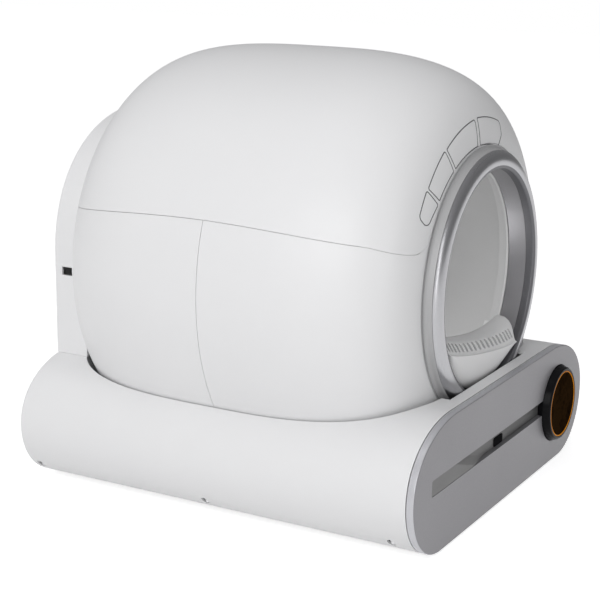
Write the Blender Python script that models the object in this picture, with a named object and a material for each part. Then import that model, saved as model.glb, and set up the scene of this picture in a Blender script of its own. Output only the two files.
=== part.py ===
"""Self cleaning litter box: a barrel-shaped housing on a wide base, with a turning drum inside.

The front faces -Y, the floor is z = 0 and the origin is the middle of the footprint.
All lengths are in metres.
"""
from math import acos, asin, cos, pi, radians, sin, sqrt, tan

import bmesh
import bpy
from mathutils import Matrix, Vector

# Base body
base_width = 0.540
base_depth = 0.5554
hood_rise = 0.0569
belt_share = 0.494168201
shoulder_run = 0.1161
heel_run = 0.0784
shoulder_power = 2.13
heel_power = 2.01
base_wall = 0.003
foot_height = 0.003
foot_radius = 0.011
foot_inset = 0.034
sole_flange = 0.028
sole_setback = 0.024
pan_thickness = 0.003
pan_side_height = 0.030

# Clearances
seat_gap = 0.0003
overrun = 0.010
merge_distance = 0.00001

# Side screws that hold the tray in the base
screw_height = 0.025
screw_hole_radius = 0.005
screw_head_radius = 0.0045
screw_head_length = 0.003
screw_sink = 0.004
screw_front_inset = 0.0274
screw_rear_inset = 0.0137

# Housing, turned about the entrance axis
axis_height = 0.2825
housing_overhang = 0.003
housing_front_room = 0.0427
housing_front_share = 0.412315448
housing_rear_room = 0.0337
barrel_power = 6.5
front_power = 2.7
rear_power = 3.57
housing_wall = 0.004
front_hole_inset = 0.0148
rear_split_trail = 0.0128
part_line = 0.0005
rim_clearance = 0.0035
rim_end_clearance = 0.010

# Parting line of the lift-off cover, seen from the side
seam_rise = 0.0923
seam_fall = 0.01875
seam_reach = 0.240
seam_crown_trail = 0.0270
seam_knee_setback = 0.0450
seam_dip = 0.0096
seam_dip_power = 1.2
seam_front_setback = 0.0035
seam_turn_depth = 0.0042
seam_turn_height = 0.012

# Entrance
collar_share = 0.610989011
ring_lip_radius = 0.0012
ring_crease_inset = 0.0058
ring_crease_reach = 0.0082
ring_nose_radius = 0.0192
ring_nose_start = radians(50)
ring_nose_end = radians(-17)
ring_width = 0.0226
collar_fillet_length = 0.0050
collar_top_inset = 0.0050
sleeve_wall = 0.003
sleeve_length = 0.024
sleeve_lap = 0.005
sleeve_end_gap = 0.0008
recess_margin = 0.0072
land_margin = 0.0012
land_depth = 0.010
recess_lip = 0.0022

# Deck and drawer bay inside the base
deck_rise = 0.0265
deck_thickness = 0.004
deck_margin = 0.015
deck_hole_margin = 0.011
bay_wall = 0.003
bay_side_inset = 0.082
frame_thickness = 0.003

# Waste drawer
plate_thickness = 0.009
plate_edge = 0.0018
shadow_gap = 0.0012
bin_rear_room = 0.1347
bin_floor_height = 0.016
bin_wall = 0.0025
bin_flange = 0.008
bin_flange_thickness = 0.003
bin_side_gap = 0.0095
bin_corner = 0.014
bin_drum_gap = 0.0068
bag_frame_height = 0.003
runner_width = 0.0075
runner_height = 0.0075
bay_end_gap = 0.006
frame_opening_gap = 0.004

# Grip strip across the drawer front
strip_lift = 0.0080
strip_width = 0.0200
strip_side_inset = 0.048
strip_depth = 0.0078
strip_floor = 0.0012
strip_fold_share = 0.167
strip_ramp_share = 0.09
strip_slant = 0.057
window_width = 0.0263
window_height = 0.0108
window_thickness = 0.0012
window_drop = 0.0032
window_place_share = 0.522

# Control disc
disc_inset = 0.096
disc_lift = 0.0025
disc_share = 0.318949343
disc_rim_inset = 0.0016
disc_face_inset = 0.0035
disc_chamfer = 0.002
disc_reach = 0.010
disc_flange = 0.0055
disc_flange_thickness = 0.003
disc_hole_gap = 0.0012
glow_inset = 0.0066
glow_width = 0.0018
lens_sink = 0.0015
lens_thickness = 0.0009

# Control board and power inlet
board_length = 0.090
board_width = 0.046
board_margin = 0.006
board_thickness = 0.0016
board_lift = 0.008
board_setback = 0.120
post_radius = 0.003
inlet_radius = 0.008
inlet_bore = 0.0035
inlet_length = 0.016
inlet_height_share = 0.566037736
inlet_flange = 0.004

# Drum
drum_clearance = 0.070
drum_wall = 0.003
drum_lip_clearance = 0.0076
drum_front_setback = 0.0270
drum_lip_length = 0.0065
drum_nose = 0.028
drum_split_setback = 0.1080
drum_rear_room = 0.058
drum_rear_round = 0.024
port_half_width = 0.062
port_lead = 0.0817
port_end_room = 0.1037
port_corner = 0.014
park_angle = radians(8.8)

# Entry sill inside the ring
sill_gap = 0.0035
sill_reach = 0.0150
sill_depth = 0.040
sill_lift = 0.0490
sill_rise = 0.0354
sill_nose = 0.004
sill_bulge = 0.014
sill_flange_width = 0.010
sill_flange_steps = 6
rib_count = 16
rib_pitch_share = 0.075867052
rib_slot_share = 0.552380952
rib_depth = 0.003
rib_length = 0.011

# Sifting screen
screen_lead = 0.0857
screen_end_room = 0.0977
screen_thickness = 0.003
screen_depth = 0.042
screen_start_step = 11
screen_end_step = 19
slot_count = 11
slot_width_share = 0.562
slot_rows = 2
slot_low_share = 0.12
slot_high_share = 0.62
slot_reach_share = 0.62
slot_end_share = 0.25

# Drive
gear_module_share = 0.0197044335
root_share = 1.2
tip_share = 0.95
pressure_angle = radians(20)
gear_teeth = 60
pinion_teeth = 12
gear_width = 0.012
gear_rim = 0.020
gear_backlash = 0.0008
hub_radius = 0.034
hub_thickness = 0.005
hub_plug_radius = 0.014
shaft_radius = 0.009
pinion_shaft_radius = 0.006
bush_wall = 0.0047
bush_flange = 0.004
bearing_wall = 0.008
bearing_flange = 0.012
bearing_length = 0.0227
gearbox_width = 0.052
gearbox_height = 0.056
gearbox_corner = 0.006
motor_radius = 0.0112
motor_length_share = 0.676855895

# Support rollers under the front of the drum
roller_angle = radians(48)
roller_radius = 0.014
roller_width = 0.012
roller_setback = 0.0380
roller_play = 0.001
pin_radius = 0.003
ear_thickness = 0.003
ear_half_width = 0.007
ear_rise = 0.005

# Rear tower
tower_inset = 0.080
tower_spring_lift = 0.0055
tower_rise = 0.177
tower_power = 2.16
tower_wall = 0.003
tower_depth = 0.0487
tower_plate_thickness = 0.004
tower_cover_thickness = 0.003
tower_slot_width = 0.016
tower_slot_height = 0.011
tower_slot_drop = 0.013
tower_slot_place_share = 0.24
tower_post_radius = 0.005
tower_post_inset = 0.018
tower_foot_post_inset = 0.028
tower_post_margin = 0.020
tower_screw_radius = 0.0034
tower_screw_length = 0.002

# Counts that set how fine the round pieces are
side_steps = 8
housing_steps = 44
profile_steps = 7
ring_steps = 40
nose_steps = 9
drum_steps = 36
disc_steps = 32
bearing_steps = 20
small_steps = 12
tiny_steps = 8

# Places worked out from the sizes above
overall_depth = base_depth + disc_reach
front_y = disc_reach - overall_depth / 2
rear_y = overall_depth / 2
shell_front_y = front_y + plate_thickness + shadow_gap
frame_back_y = shell_front_y + frame_thickness
housing_radius = base_width / 2 + housing_overhang
housing_front_length = base_depth * housing_front_share
housing_front_y = front_y + housing_front_room
housing_y = housing_front_y + housing_front_length
housing_rear_y = rear_y - housing_rear_room
housing_rear_length = housing_rear_y - housing_y
drum_radius = housing_radius - drum_clearance
drum_bottom = axis_height - drum_radius
drum_rear_y = housing_rear_y - drum_rear_room
seam_height = axis_height + seam_rise
deck_height = drum_bottom + deck_rise
base_top = deck_height + hood_rise
split_y = housing_y + rear_split_trail
collar_foot_radius = housing_radius * collar_share
collar_top_radius = collar_foot_radius - collar_top_inset
ring_crease_radius = collar_foot_radius - ring_crease_inset
ring_inner_radius = ring_crease_radius - ring_width
front_hole_radius = collar_foot_radius - front_hole_inset
drum_lip_radius = ring_inner_radius + drum_lip_clearance
drum_front_y = housing_front_y + drum_front_setback
sill_front_y = housing_front_y - sill_reach
sill_drop = ring_inner_radius - sill_lift
belt_height = base_top * belt_share
strip_height = belt_height + strip_lift
disc_height = belt_height + disc_lift
inlet_height = deck_height * inlet_height_share
rib_pitch = ring_inner_radius * rib_pitch_share
rib_slot = rib_pitch * rib_slot_share
pan_low = foot_height + base_wall + seat_gap
pan_top = pan_low + pan_thickness
deck_top = deck_height + deck_thickness
bay_bottom = pan_top + seat_gap
bay_left = -(base_width / 2 - bay_side_inset)
disc_radius = (base_top - foot_height) * disc_share
disc_rim_radius = disc_radius - disc_rim_inset
disc_face_radius = disc_radius - disc_face_inset
glow_radius = disc_radius - glow_inset
disc_x = base_width / 2 - disc_inset
bay_right = disc_x - disc_radius - disc_flange - bay_wall
board_left = bay_right + bay_wall + board_margin
strip_left = -(base_width / 2 - strip_side_inset)
mouth_share = 1 - (front_hole_radius / housing_radius) ** barrel_power
mouth_y = housing_y - housing_front_length * mouth_share ** (1 / front_power)
crease_y = housing_front_y - ring_crease_reach
collar_back_y = mouth_y - seat_gap
sleeve_front_y = collar_back_y - sleeve_lap
bin_top = drum_bottom - bin_drum_gap
bin_rear_y = front_y + plate_thickness + seat_gap + base_depth - bin_rear_room
bin_left = bay_left + bin_side_gap
bin_right = bay_right - bin_side_gap
gear_module = drum_radius * gear_module_share
pitch_radius = gear_module * gear_teeth / 2
gear_bore = pitch_radius - gear_rim
pinion_pitch_radius = gear_module * pinion_teeth / 2
pinion_x = pitch_radius + pinion_pitch_radius
gear_y = drum_rear_y + seat_gap
plate_y = housing_rear_y + part_line
plate_rear_y = plate_y + tower_plate_thickness
tower_front_y = rear_y - tower_depth
tower_half_width = base_width / 2 - tower_inset
tower_spring = axis_height + tower_spring_lift
axis_point = Vector((0, 0, axis_height))
pinion_point = Vector((pinion_x, 0, axis_height))
roller_reach = drum_radius + roller_radius + seat_gap

shell_white = ("shell_white", (0.80, 0.80, 0.81), 0.38, 0.0)
plate_silver = ("plate_silver", (0.30, 0.30, 0.32), 0.35, 0.6)
strip_grey = ("strip_grey", (0.13, 0.13, 0.13), 0.5, 0.2)
ring_metal = ("ring_metal", (0.55, 0.55, 0.57), 0.25, 0.9)
drum_grey = ("drum_grey", (0.66, 0.66, 0.66), 0.5, 0.0)
gloss_black = ("gloss_black", (0.01, 0.01, 0.012), 0.12, 0.0)
glow_orange = ("glow_orange", (0.75, 0.28, 0.02), 0.3, 0.0)
frame_plastic = ("frame_plastic", (0.10, 0.10, 0.11), 0.55, 0.0)
bin_plastic = ("bin_plastic", (0.35, 0.36, 0.37), 0.5, 0.0)
gear_nylon = ("gear_nylon", (0.70, 0.69, 0.62), 0.45, 0.0)
steel = ("steel", (0.56, 0.57, 0.58), 0.3, 1.0)
bronze = ("bronze", (0.48, 0.30, 0.13), 0.35, 1.0)
rubber = ("rubber", (0.03, 0.03, 0.03), 0.8, 0.0)
board_green = ("board_green", (0.02, 0.16, 0.07), 0.4, 0.0)


def clear_scene():
    """Remove everything that the file holds at the start."""
    for item in list(bpy.data.objects):
        bpy.data.objects.remove(item, do_unlink=True)


def material(finish):
    """Return the Principled material of a finish, made once."""
    name, colour, roughness, metallic = finish
    found = bpy.data.materials.get(name)
    if found:
        return found
    made = bpy.data.materials.new(name)
    made.use_nodes = True
    shader = made.node_tree.nodes["Principled BSDF"]
    shader.inputs["Base Color"].default_value = (*colour, 1)
    shader.inputs["Roughness"].default_value = roughness
    shader.inputs["Metallic"].default_value = metallic
    return made


def add_part(name, shape, finish, origin=None, turn=0.0):
    """Make a named object from a closed mesh, with its origin on its joint's axis."""
    bmesh.ops.recalc_face_normals(shape, faces=shape.faces)
    place = Vector(origin) if origin else Vector((0, 0, 0))
    bmesh.ops.translate(shape, verts=shape.verts, vec=-place)
    mesh = bpy.data.meshes.new(name)
    shape.to_mesh(mesh)
    shape.free()
    mesh.materials.append(material(finish))
    mesh.shade_smooth()
    mesh.set_sharp_from_angle(angle=radians(35))
    part = bpy.data.objects.new(name, mesh)
    part.location = place
    part.rotation_euler = (0, turn, 0)
    bpy.context.scene.collection.objects.link(part)
    return part


def join_shapes(shapes):
    """Put several separate closed meshes into one."""
    whole = bmesh.new()
    for shape in shapes:
        mesh = bpy.data.meshes.new("loose")
        shape.to_mesh(mesh)
        shape.free()
        whole.from_mesh(mesh)
        bpy.data.meshes.remove(mesh)
    return whole


def carve(body, tool, operation="DIFFERENCE"):
    """Return the boolean of two closed meshes."""
    pair = []
    for label, shape in (("body", body), ("tool", tool)):
        bmesh.ops.recalc_face_normals(shape, faces=shape.faces)
        mesh = bpy.data.meshes.new(label)
        shape.to_mesh(mesh)
        shape.free()
        item = bpy.data.objects.new(label, mesh)
        bpy.context.scene.collection.objects.link(item)
        pair.append(item)
    target, cutter = pair
    modifier = target.modifiers.new("cut", "BOOLEAN")
    modifier.operation = operation
    modifier.solver = "EXACT"
    modifier.object = cutter
    result = bmesh.new()
    result.from_object(target, bpy.context.evaluated_depsgraph_get())
    for item in pair:
        mesh = item.data
        bpy.data.objects.remove(item, do_unlink=True)
        bpy.data.meshes.remove(mesh)
    bmesh.ops.remove_doubles(result, verts=result.verts, dist=merge_distance)
    bmesh.ops.dissolve_degenerate(result, edges=result.edges, dist=merge_distance)
    return result


def loft(loops):
    """Skin a row of closed point loops of equal count, and cap both ends."""
    shape = bmesh.new()
    rings = [[shape.verts.new(point) for point in loop] for loop in loops]
    for first, second in zip(rings, rings[1:]):
        count = len(first)
        for index in range(count):
            after = (index + 1) % count
            shape.faces.new((first[index], first[after], second[after], second[index]))
    shape.faces.new(rings[0][::-1])
    shape.faces.new(rings[-1])
    bmesh.ops.remove_doubles(shape, verts=shape.verts, dist=merge_distance)
    bmesh.ops.recalc_face_normals(shape, faces=shape.faces)
    return shape


def prism_y(outline, low, high):
    """Extrude an outline of (x, z) points along Y."""
    return loft([[(x, y, z) for x, z in outline] for y in (low, high)])


def prism_x(outline, low, high):
    """Extrude an outline of (y, z) points along X."""
    return loft([[(x, y, z) for y, z in outline] for x in (low, high)])


def prism_z(outline, low, high):
    """Extrude an outline of (x, y) points along Z."""
    return loft([[(x, y, z) for x, y in outline] for z in (low, high)])


def box(left, right, front, back, low, high):
    """A rectangular block between two corners."""
    outline = [(left, front), (right, front), (right, back), (left, back)]
    return prism_z(outline, low, high)


def turned(profile, steps, centre=(0, 0, 0), axis="Y", closed=True):
    """Spin a profile of (along, radius) points about an axis through a centre."""
    shape = bmesh.new()
    side = {"X": (0, 0, 1), "Y": (1, 0, 0), "Z": (1, 0, 0)}[axis]
    line = {"X": (1, 0, 0), "Y": (0, 1, 0), "Z": (0, 0, 1)}[axis]
    points = [Vector(centre) + Vector(line) * along + Vector(side) * out for along, out in profile]
    verts = [shape.verts.new(point) for point in points]
    edges = [shape.edges.new(pair) for pair in zip(verts, verts[1:])]
    if closed:
        edges.append(shape.edges.new((verts[-1], verts[0])))
    bmesh.ops.spin(shape, geom=verts + edges, cent=centre, axis=line, angle=2 * pi, steps=steps)
    bmesh.ops.remove_doubles(shape, verts=shape.verts, dist=merge_distance)
    bmesh.ops.recalc_face_normals(shape, faces=shape.faces)
    return shape


def rod(low, high, radius, steps, centre=(0, 0, 0), axis="Y"):
    """A solid round bar along an axis."""
    profile = [(low, 0), (low, radius), (high, radius), (high, 0)]
    return turned(profile, steps, centre, axis, closed=False)


def tube(low, high, inner, outer, steps, centre=(0, 0, 0), axis="Y"):
    """A round bar with a hole right through it."""
    profile = [(low, inner), (low, outer), (high, outer), (high, inner)]
    return turned(profile, steps, centre, axis)


def rounded_rectangle(left, right, low, high, radius, steps=4):
    """A rectangle with round corners, as a list of points."""
    points = []
    corners = ((right, high, 0), (left, high, 1), (left, low, 2), (right, low, 3))
    for x, y, quarter in corners:
        centre_x = x + (radius if x == left else -radius)
        centre_y = y + (radius if y == low else -radius)
        for step in range(steps + 1):
            angle = (quarter + step / steps) * pi / 2
            points.append((centre_x + radius * cos(angle), centre_y + radius * sin(angle)))
    return points


def side_x(height, inset):
    """Half width of the base at a height, for an outline set in by a distance."""
    if height >= belt_height:
        share = (height - belt_height) / (base_top - inset - belt_height)
        run = shoulder_run - inset
        power = shoulder_power
        flat = base_width / 2 - shoulder_run
    else:
        share = (belt_height - height) / (belt_height - foot_height - inset)
        run = heel_run - inset
        power = heel_power
        flat = base_width / 2 - heel_run
    return flat + run * (1 - min(share, 1) ** power) ** (1 / power)


def base_outline(inset=0.0):
    """The base seen from the front: flat top and sole, with full rounded sides."""
    sole = foot_height + inset
    top = base_top - inset
    right = []
    for step in range(side_steps + 1):
        angle = step / side_steps * pi / 2
        across = sin(angle) ** (2 / heel_power) * (heel_run - inset)
        down = cos(angle) ** (2 / heel_power) * (belt_height - sole)
        right.append((base_width / 2 - heel_run + across, belt_height - down))
    for step in range(1, side_steps + 1):
        angle = step / side_steps * pi / 2
        across = cos(angle) ** (2 / shoulder_power) * (shoulder_run - inset)
        up = sin(angle) ** (2 / shoulder_power) * (top - belt_height)
        right.append((base_width / 2 - shoulder_run + across, belt_height + up))
    return right + [(-x, z) for x, z in reversed(right)]


def housing_profile(grow, first_radius, end_grow=0.0):
    """Half outline of the barrel from its front hole to its rear pole, as (y, radius)."""
    radius = housing_radius + grow
    front = housing_front_length + grow + end_grow
    rear = housing_rear_length + grow + end_grow
    open_angle = acos(min(first_radius / radius, 1) ** (barrel_power / 2))
    points = []
    for step in range(profile_steps + 1):
        angle = open_angle * (1 - step / profile_steps)
        along = sin(angle) ** (2 / front_power) * front
        points.append((housing_y - along, radius * cos(angle) ** (2 / barrel_power)))
    for step in range(1, profile_steps + 1):
        angle = pi / 2 * step / profile_steps
        along = sin(angle) ** (2 / rear_power) * rear
        points.append((housing_y + along, radius * max(cos(angle), 0) ** (2 / barrel_power)))
    points[-1] = (points[-1][0], 0)
    return points


def housing_solid(grow, end_grow):
    """The barrel as a solid block, grown all round, for cutting its neighbours."""
    profile = housing_profile(grow, 0, end_grow)
    profile[0] = (profile[0][0], 0)
    return turned(profile, housing_steps, axis_point, closed=False)


def housing_shell():
    """The whole barrel as a thin wall with its front hole."""
    outer = housing_profile(0, front_hole_radius)
    inner = housing_profile(-housing_wall, front_hole_radius)
    profile = inner[::-1] + outer
    return turned(profile, housing_steps, axis_point, closed=False)


def seam_line(offset):
    """The cover's edge from the back of the housing to the entrance ring, as (y, z)."""
    crown_y = housing_y + seam_crown_trail
    knee_y = housing_front_y + seam_knee_setback
    front = housing_front_y + seam_front_setback

    def height(y):
        dip = max(0, (knee_y - y) / (knee_y - front)) ** seam_dip_power * seam_dip
        return seam_height - seam_fall * ((y - crown_y) / seam_reach) ** 2 - dip + offset

    turn_y = front + seam_turn_depth
    points = []
    start_y = housing_rear_y + overrun
    for step in range(profile_steps + 1):
        y = start_y + (knee_y - start_y) * step / profile_steps
        points.append((y, height(y)))
    steps = 4
    for step in range(1, steps + 1):
        y = knee_y + (turn_y - knee_y) * step / steps
        points.append((y, height(y)))
    low = points[-1][1]
    for step in range(1, steps + 1):
        angle = pi / 2 * step / steps
        y = turn_y - seam_turn_depth * sin(angle)
        points.append((y, low + seam_turn_height * (1 - cos(angle))))
    points.append((housing_front_y - overrun, points[-1][1]))
    return points


def make_cover():
    """The lift-off upper half of the housing."""
    line = seam_line(part_line / 2)
    ceiling = axis_height + housing_radius + overrun
    outline = line + [(line[-1][0], ceiling), (line[0][0], ceiling)]
    side = housing_radius + overrun
    block = prism_x(outline, -side, side)
    cover = carve(housing_shell(), block, "INTERSECT")
    cover = carve(cover, ring_land(part_line))
    add_part("top_cover", cover, shell_white)


def ring_land(grow):
    """A short block round the entrance that marks the flat land behind the ring."""
    front = housing_front_y - overrun
    radius = collar_foot_radius + land_margin + grow
    return rod(front, mouth_y + land_depth, radius, housing_steps, axis_point)


def make_lower_shells():
    """The two fixed lower halves, which stand on the deck and meet in a vertical line."""
    line = seam_line(-part_line / 2)
    side = housing_radius + overrun
    floor = deck_top + seat_gap
    front_edge = housing_front_y - overrun
    rear_edge = housing_rear_y + overrun
    crown_y = housing_y + seam_crown_trail
    split_z = seam_height - seam_fall * ((split_y - crown_y) / seam_reach) ** 2 - part_line / 2
    ahead = [point for point in line if point[0] < split_y - part_line]
    behind = [point for point in line if point[0] > split_y + part_line]
    near = split_y - part_line / 2
    far = split_y + part_line / 2
    front_outline = [(near, floor), (near, split_z)] + ahead
    front_outline += [(front_edge, floor)]
    rear_outline = [(far, floor), (rear_edge, floor)] + behind + [(far, split_z)]
    block = carve(prism_x(front_outline, -side, side), ring_land(0), "UNION")
    front = carve(housing_shell(), block, "INTERSECT")
    add_part("lower_front_shell", front, shell_white)
    rear = carve(housing_shell(), prism_x(rear_outline, -side, side), "INTERSECT")
    bearing_hole = shaft_radius + seat_gap + bush_wall + seat_gap + bearing_wall + seat_gap
    holes = [
        rod(housing_y, housing_rear_y + overrun, bearing_hole, bearing_steps, axis_point),
        rod(housing_y, housing_rear_y + overrun, pinion_shaft_radius + bearing_wall / 2,
            small_steps, pinion_point),
    ]
    rear = carve(rear, join_shapes(holes))
    add_part("lower_rear_shell", rear, shell_white)


def ring_profile():
    """Section of the entrance ring: a round nose from the crease to the lip, and a skirt inside."""
    points = []
    for step in range(nose_steps + 1):
        tilt = ring_nose_start + (ring_nose_end - ring_nose_start) * step / nose_steps
        along = crease_y - ring_nose_radius * (cos(tilt) - cos(ring_nose_start))
        out = ring_crease_radius - ring_nose_radius * (sin(ring_nose_start) - sin(tilt))
        points.append((along, out))
    lip_y = points[-1][0] + ring_lip_radius
    outer = ring_inner_radius + sleeve_wall + seat_gap
    back = sleeve_front_y - seat_gap
    points += [(lip_y, ring_inner_radius), (back, ring_inner_radius)]
    return points + [(back, outer), (crease_y, outer)]


def collar_profile():
    """Section of the collar behind the ring: a hollow fillet that rises to a steep flank."""
    inner = ring_inner_radius + sleeve_wall + 2 * seat_gap
    front = crease_y + seat_gap
    rise = collar_foot_radius - collar_top_radius
    steps = 4
    points = [(front, inner), (collar_back_y, inner)]
    for step in range(steps + 1):
        angle = pi / 2 * step / steps
        along = collar_back_y - collar_fillet_length * (1 - cos(angle))
        points.append((along, collar_foot_radius - rise * sin(angle)))
    return points + [(front, ring_crease_radius)]


def make_entrance():
    """The ring round the entrance, the collar that it sits on and the sleeve behind it."""
    add_part("entrance_ring", turned(ring_profile(), ring_steps, axis_point), ring_metal)
    add_part("entrance_collar", turned(collar_profile(), ring_steps, axis_point), shell_white)
    inner = ring_inner_radius + seat_gap
    sleeve = tube(sleeve_front_y, sleeve_front_y + sleeve_length, inner, inner + sleeve_wall,
                  ring_steps, axis_point)
    add_part("entrance_sleeve", sleeve, ring_metal)


def rounded_opening_tool():
    """The well in the base's top that the barrel sinks into."""
    block = housing_solid(rim_clearance, rim_end_clearance - rim_clearance)
    side = base_width
    below = box(-side, side, -base_depth, base_depth, -base_top, deck_height)
    return carve(block, below)


def ring_recess_tool():
    """The round recess in the base's top in front of the barrel, round the ring's foot."""
    radius = collar_foot_radius + recess_margin
    return rod(frame_back_y + recess_lip, housing_y, radius, ring_steps, axis_point)


def side_places():
    """Where the three side screws stand along the base."""
    front = shell_front_y + screw_front_inset
    back = rear_y - screw_rear_inset
    return (front, (front + back) / 2, back)


def screw_floor_x():
    """Where the side screws' heads rest on the pan's bosses."""
    return side_x(screw_height, base_wall + seat_gap) - screw_sink


def make_base():
    """The outer shell of the base, its pan, feet and side screws."""
    outer = prism_y(base_outline(), shell_front_y, rear_y)
    inner = prism_y(base_outline(base_wall), shell_front_y - overrun, rear_y - base_wall)
    shell = carve(outer, inner)
    shell = carve(shell, rounded_opening_tool())
    shell = carve(shell, ring_recess_tool())
    flat = base_width / 2 - heel_run
    hole_half = flat - sole_flange
    tools = [box(-hole_half, hole_half, shell_front_y + sole_setback, rear_y - sole_setback,
                 0, foot_height + base_wall + overrun)]
    floor_x = screw_floor_x()
    for place in side_places():
        centre = (0, place, screw_height)
        for side in (-1, 1):
            low, high = sorted((side * floor_x, side * base_width / 2))
            tools.append(rod(low, high, screw_hole_radius, tiny_steps, centre, "X"))
    inlet_centre = (disc_x, 0, inlet_height)
    tools.append(rod(rear_y - inlet_length, rear_y + overrun, inlet_radius + seat_gap,
                     small_steps, inlet_centre))
    shell = carve(shell, join_shapes(tools))
    add_part("base_shell", shell, shell_white)

    near = frame_back_y + seat_gap
    far = rear_y - base_wall - seat_gap
    inset = base_wall + seat_gap
    pan = prism_y(base_outline(inset), near, far)
    pan = carve(pan, prism_y(base_outline(inset + pan_thickness), near - overrun, far + overrun))
    side = base_width / 2
    keep = box(-side, side, near - overrun, far + overrun, 0, pan_low + pan_side_height)
    pan = carve(pan, keep, "INTERSECT")
    posts = [rod(pan_low, pan_top + board_lift, post_radius, tiny_steps, (x, y, 0), "Z")
             for x, y in board_posts()]
    pan = carve(pan, join_shapes(posts), "UNION")
    sinks = []
    for place in side_places():
        for side in (-1, 1):
            low, high = sorted((side * floor_x, side * base_width / 2))
            sinks.append(rod(low, high, screw_hole_radius, tiny_steps, (0, place, screw_height), "X"))
    pan = carve(pan, join_shapes(sinks))
    add_part("base_pan", pan, frame_plastic)

    for row, place in zip(("front", "middle", "rear"), side_places()):
        for label, side in (("left", -1), ("right", 1)):
            start = side * (floor_x + seat_gap)
            end = start + side * screw_head_length
            low, high = sorted((start, end))
            screw = rod(low, high, screw_head_radius, tiny_steps, (0, place, screw_height), "X")
            add_part("base_screw_" + row + "_" + label, screw, steel)

    foot_x = flat - sole_flange / 2
    for label, x in (("left", -foot_x), ("right", foot_x)):
        for row, y in (("front", shell_front_y + foot_inset), ("rear", rear_y - foot_inset)):
            foot = rod(0, foot_height - seat_gap, foot_radius, small_steps, (x, y, 0), "Z")
            add_part("foot_" + row + "_" + label, foot, rubber)


def board_posts():
    """The four posts under the control board, as (x, y)."""
    front = front_y + board_setback
    inset = 2 * post_radius
    left = board_left + inset
    right = board_left + board_width - inset
    return [(x, y) for x in (left, right) for y in (front + inset, front + board_length - inset)]


def make_bay():
    """The deck over the drawer bay, the bay's walls, the front frame and the runners."""
    half = sqrt(housing_radius ** 2 - (axis_height - deck_top) ** 2) + deck_margin
    back = rear_y - base_wall - seat_gap
    start = frame_back_y + disc_flange_thickness + 2 * seat_gap
    deck = box(-half, half, start, back, deck_height, deck_top)
    hole_half = sqrt(drum_radius ** 2 - (axis_height - deck_top) ** 2) + deck_hole_margin
    hole = rounded_rectangle(-hole_half, hole_half, drum_front_y,
                             drum_rear_y + deck_hole_margin, bin_corner)
    deck = carve(deck, prism_z(hole, deck_height - overrun, deck_top + overrun))
    add_part("deck", deck, frame_plastic)

    low = bay_bottom
    high = deck_height - seat_gap
    front = frame_back_y + seat_gap
    end_y = bin_rear_y + bay_end_gap
    walls = (
        ("bay_left_wall", bay_left - bay_wall, bay_left, front, back, high),
        ("bay_right_wall", bay_right, bay_right + bay_wall, front, back, high),
        ("bay_rear_wall", bay_left + seat_gap, bay_right - seat_gap, end_y, end_y + bay_wall, bin_top),
    )
    for name, left, right, near, far, top in walls:
        add_part(name, box(left, right, near, far, low, top), frame_plastic)

    frame = prism_y(base_outline(base_wall + seat_gap), shell_front_y, frame_back_y)
    opening = rounded_rectangle(bay_left, bay_right, bay_bottom, drum_bottom - seat_gap,
                                frame_opening_gap)
    cuts = [prism_y(opening, shell_front_y - overrun, frame_back_y + overrun),
            rod(shell_front_y - overrun, frame_back_y + overrun, disc_radius + seat_gap,
                disc_steps, (disc_x, 0, disc_height))]
    frame = carve(frame, join_shapes(cuts))
    add_part("front_frame", frame, frame_plastic)

    top = bin_top - bin_flange_thickness - seat_gap
    runners = (
        ("runner_left", bay_left + seat_gap, bay_left + seat_gap + runner_width),
        ("runner_right", bay_right - seat_gap - runner_width, bay_right - seat_gap),
    )
    for name, left, right in runners:
        rail = box(left, right, front, bin_rear_y, top - runner_height, top)
        add_part(name, rail, steel)


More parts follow.
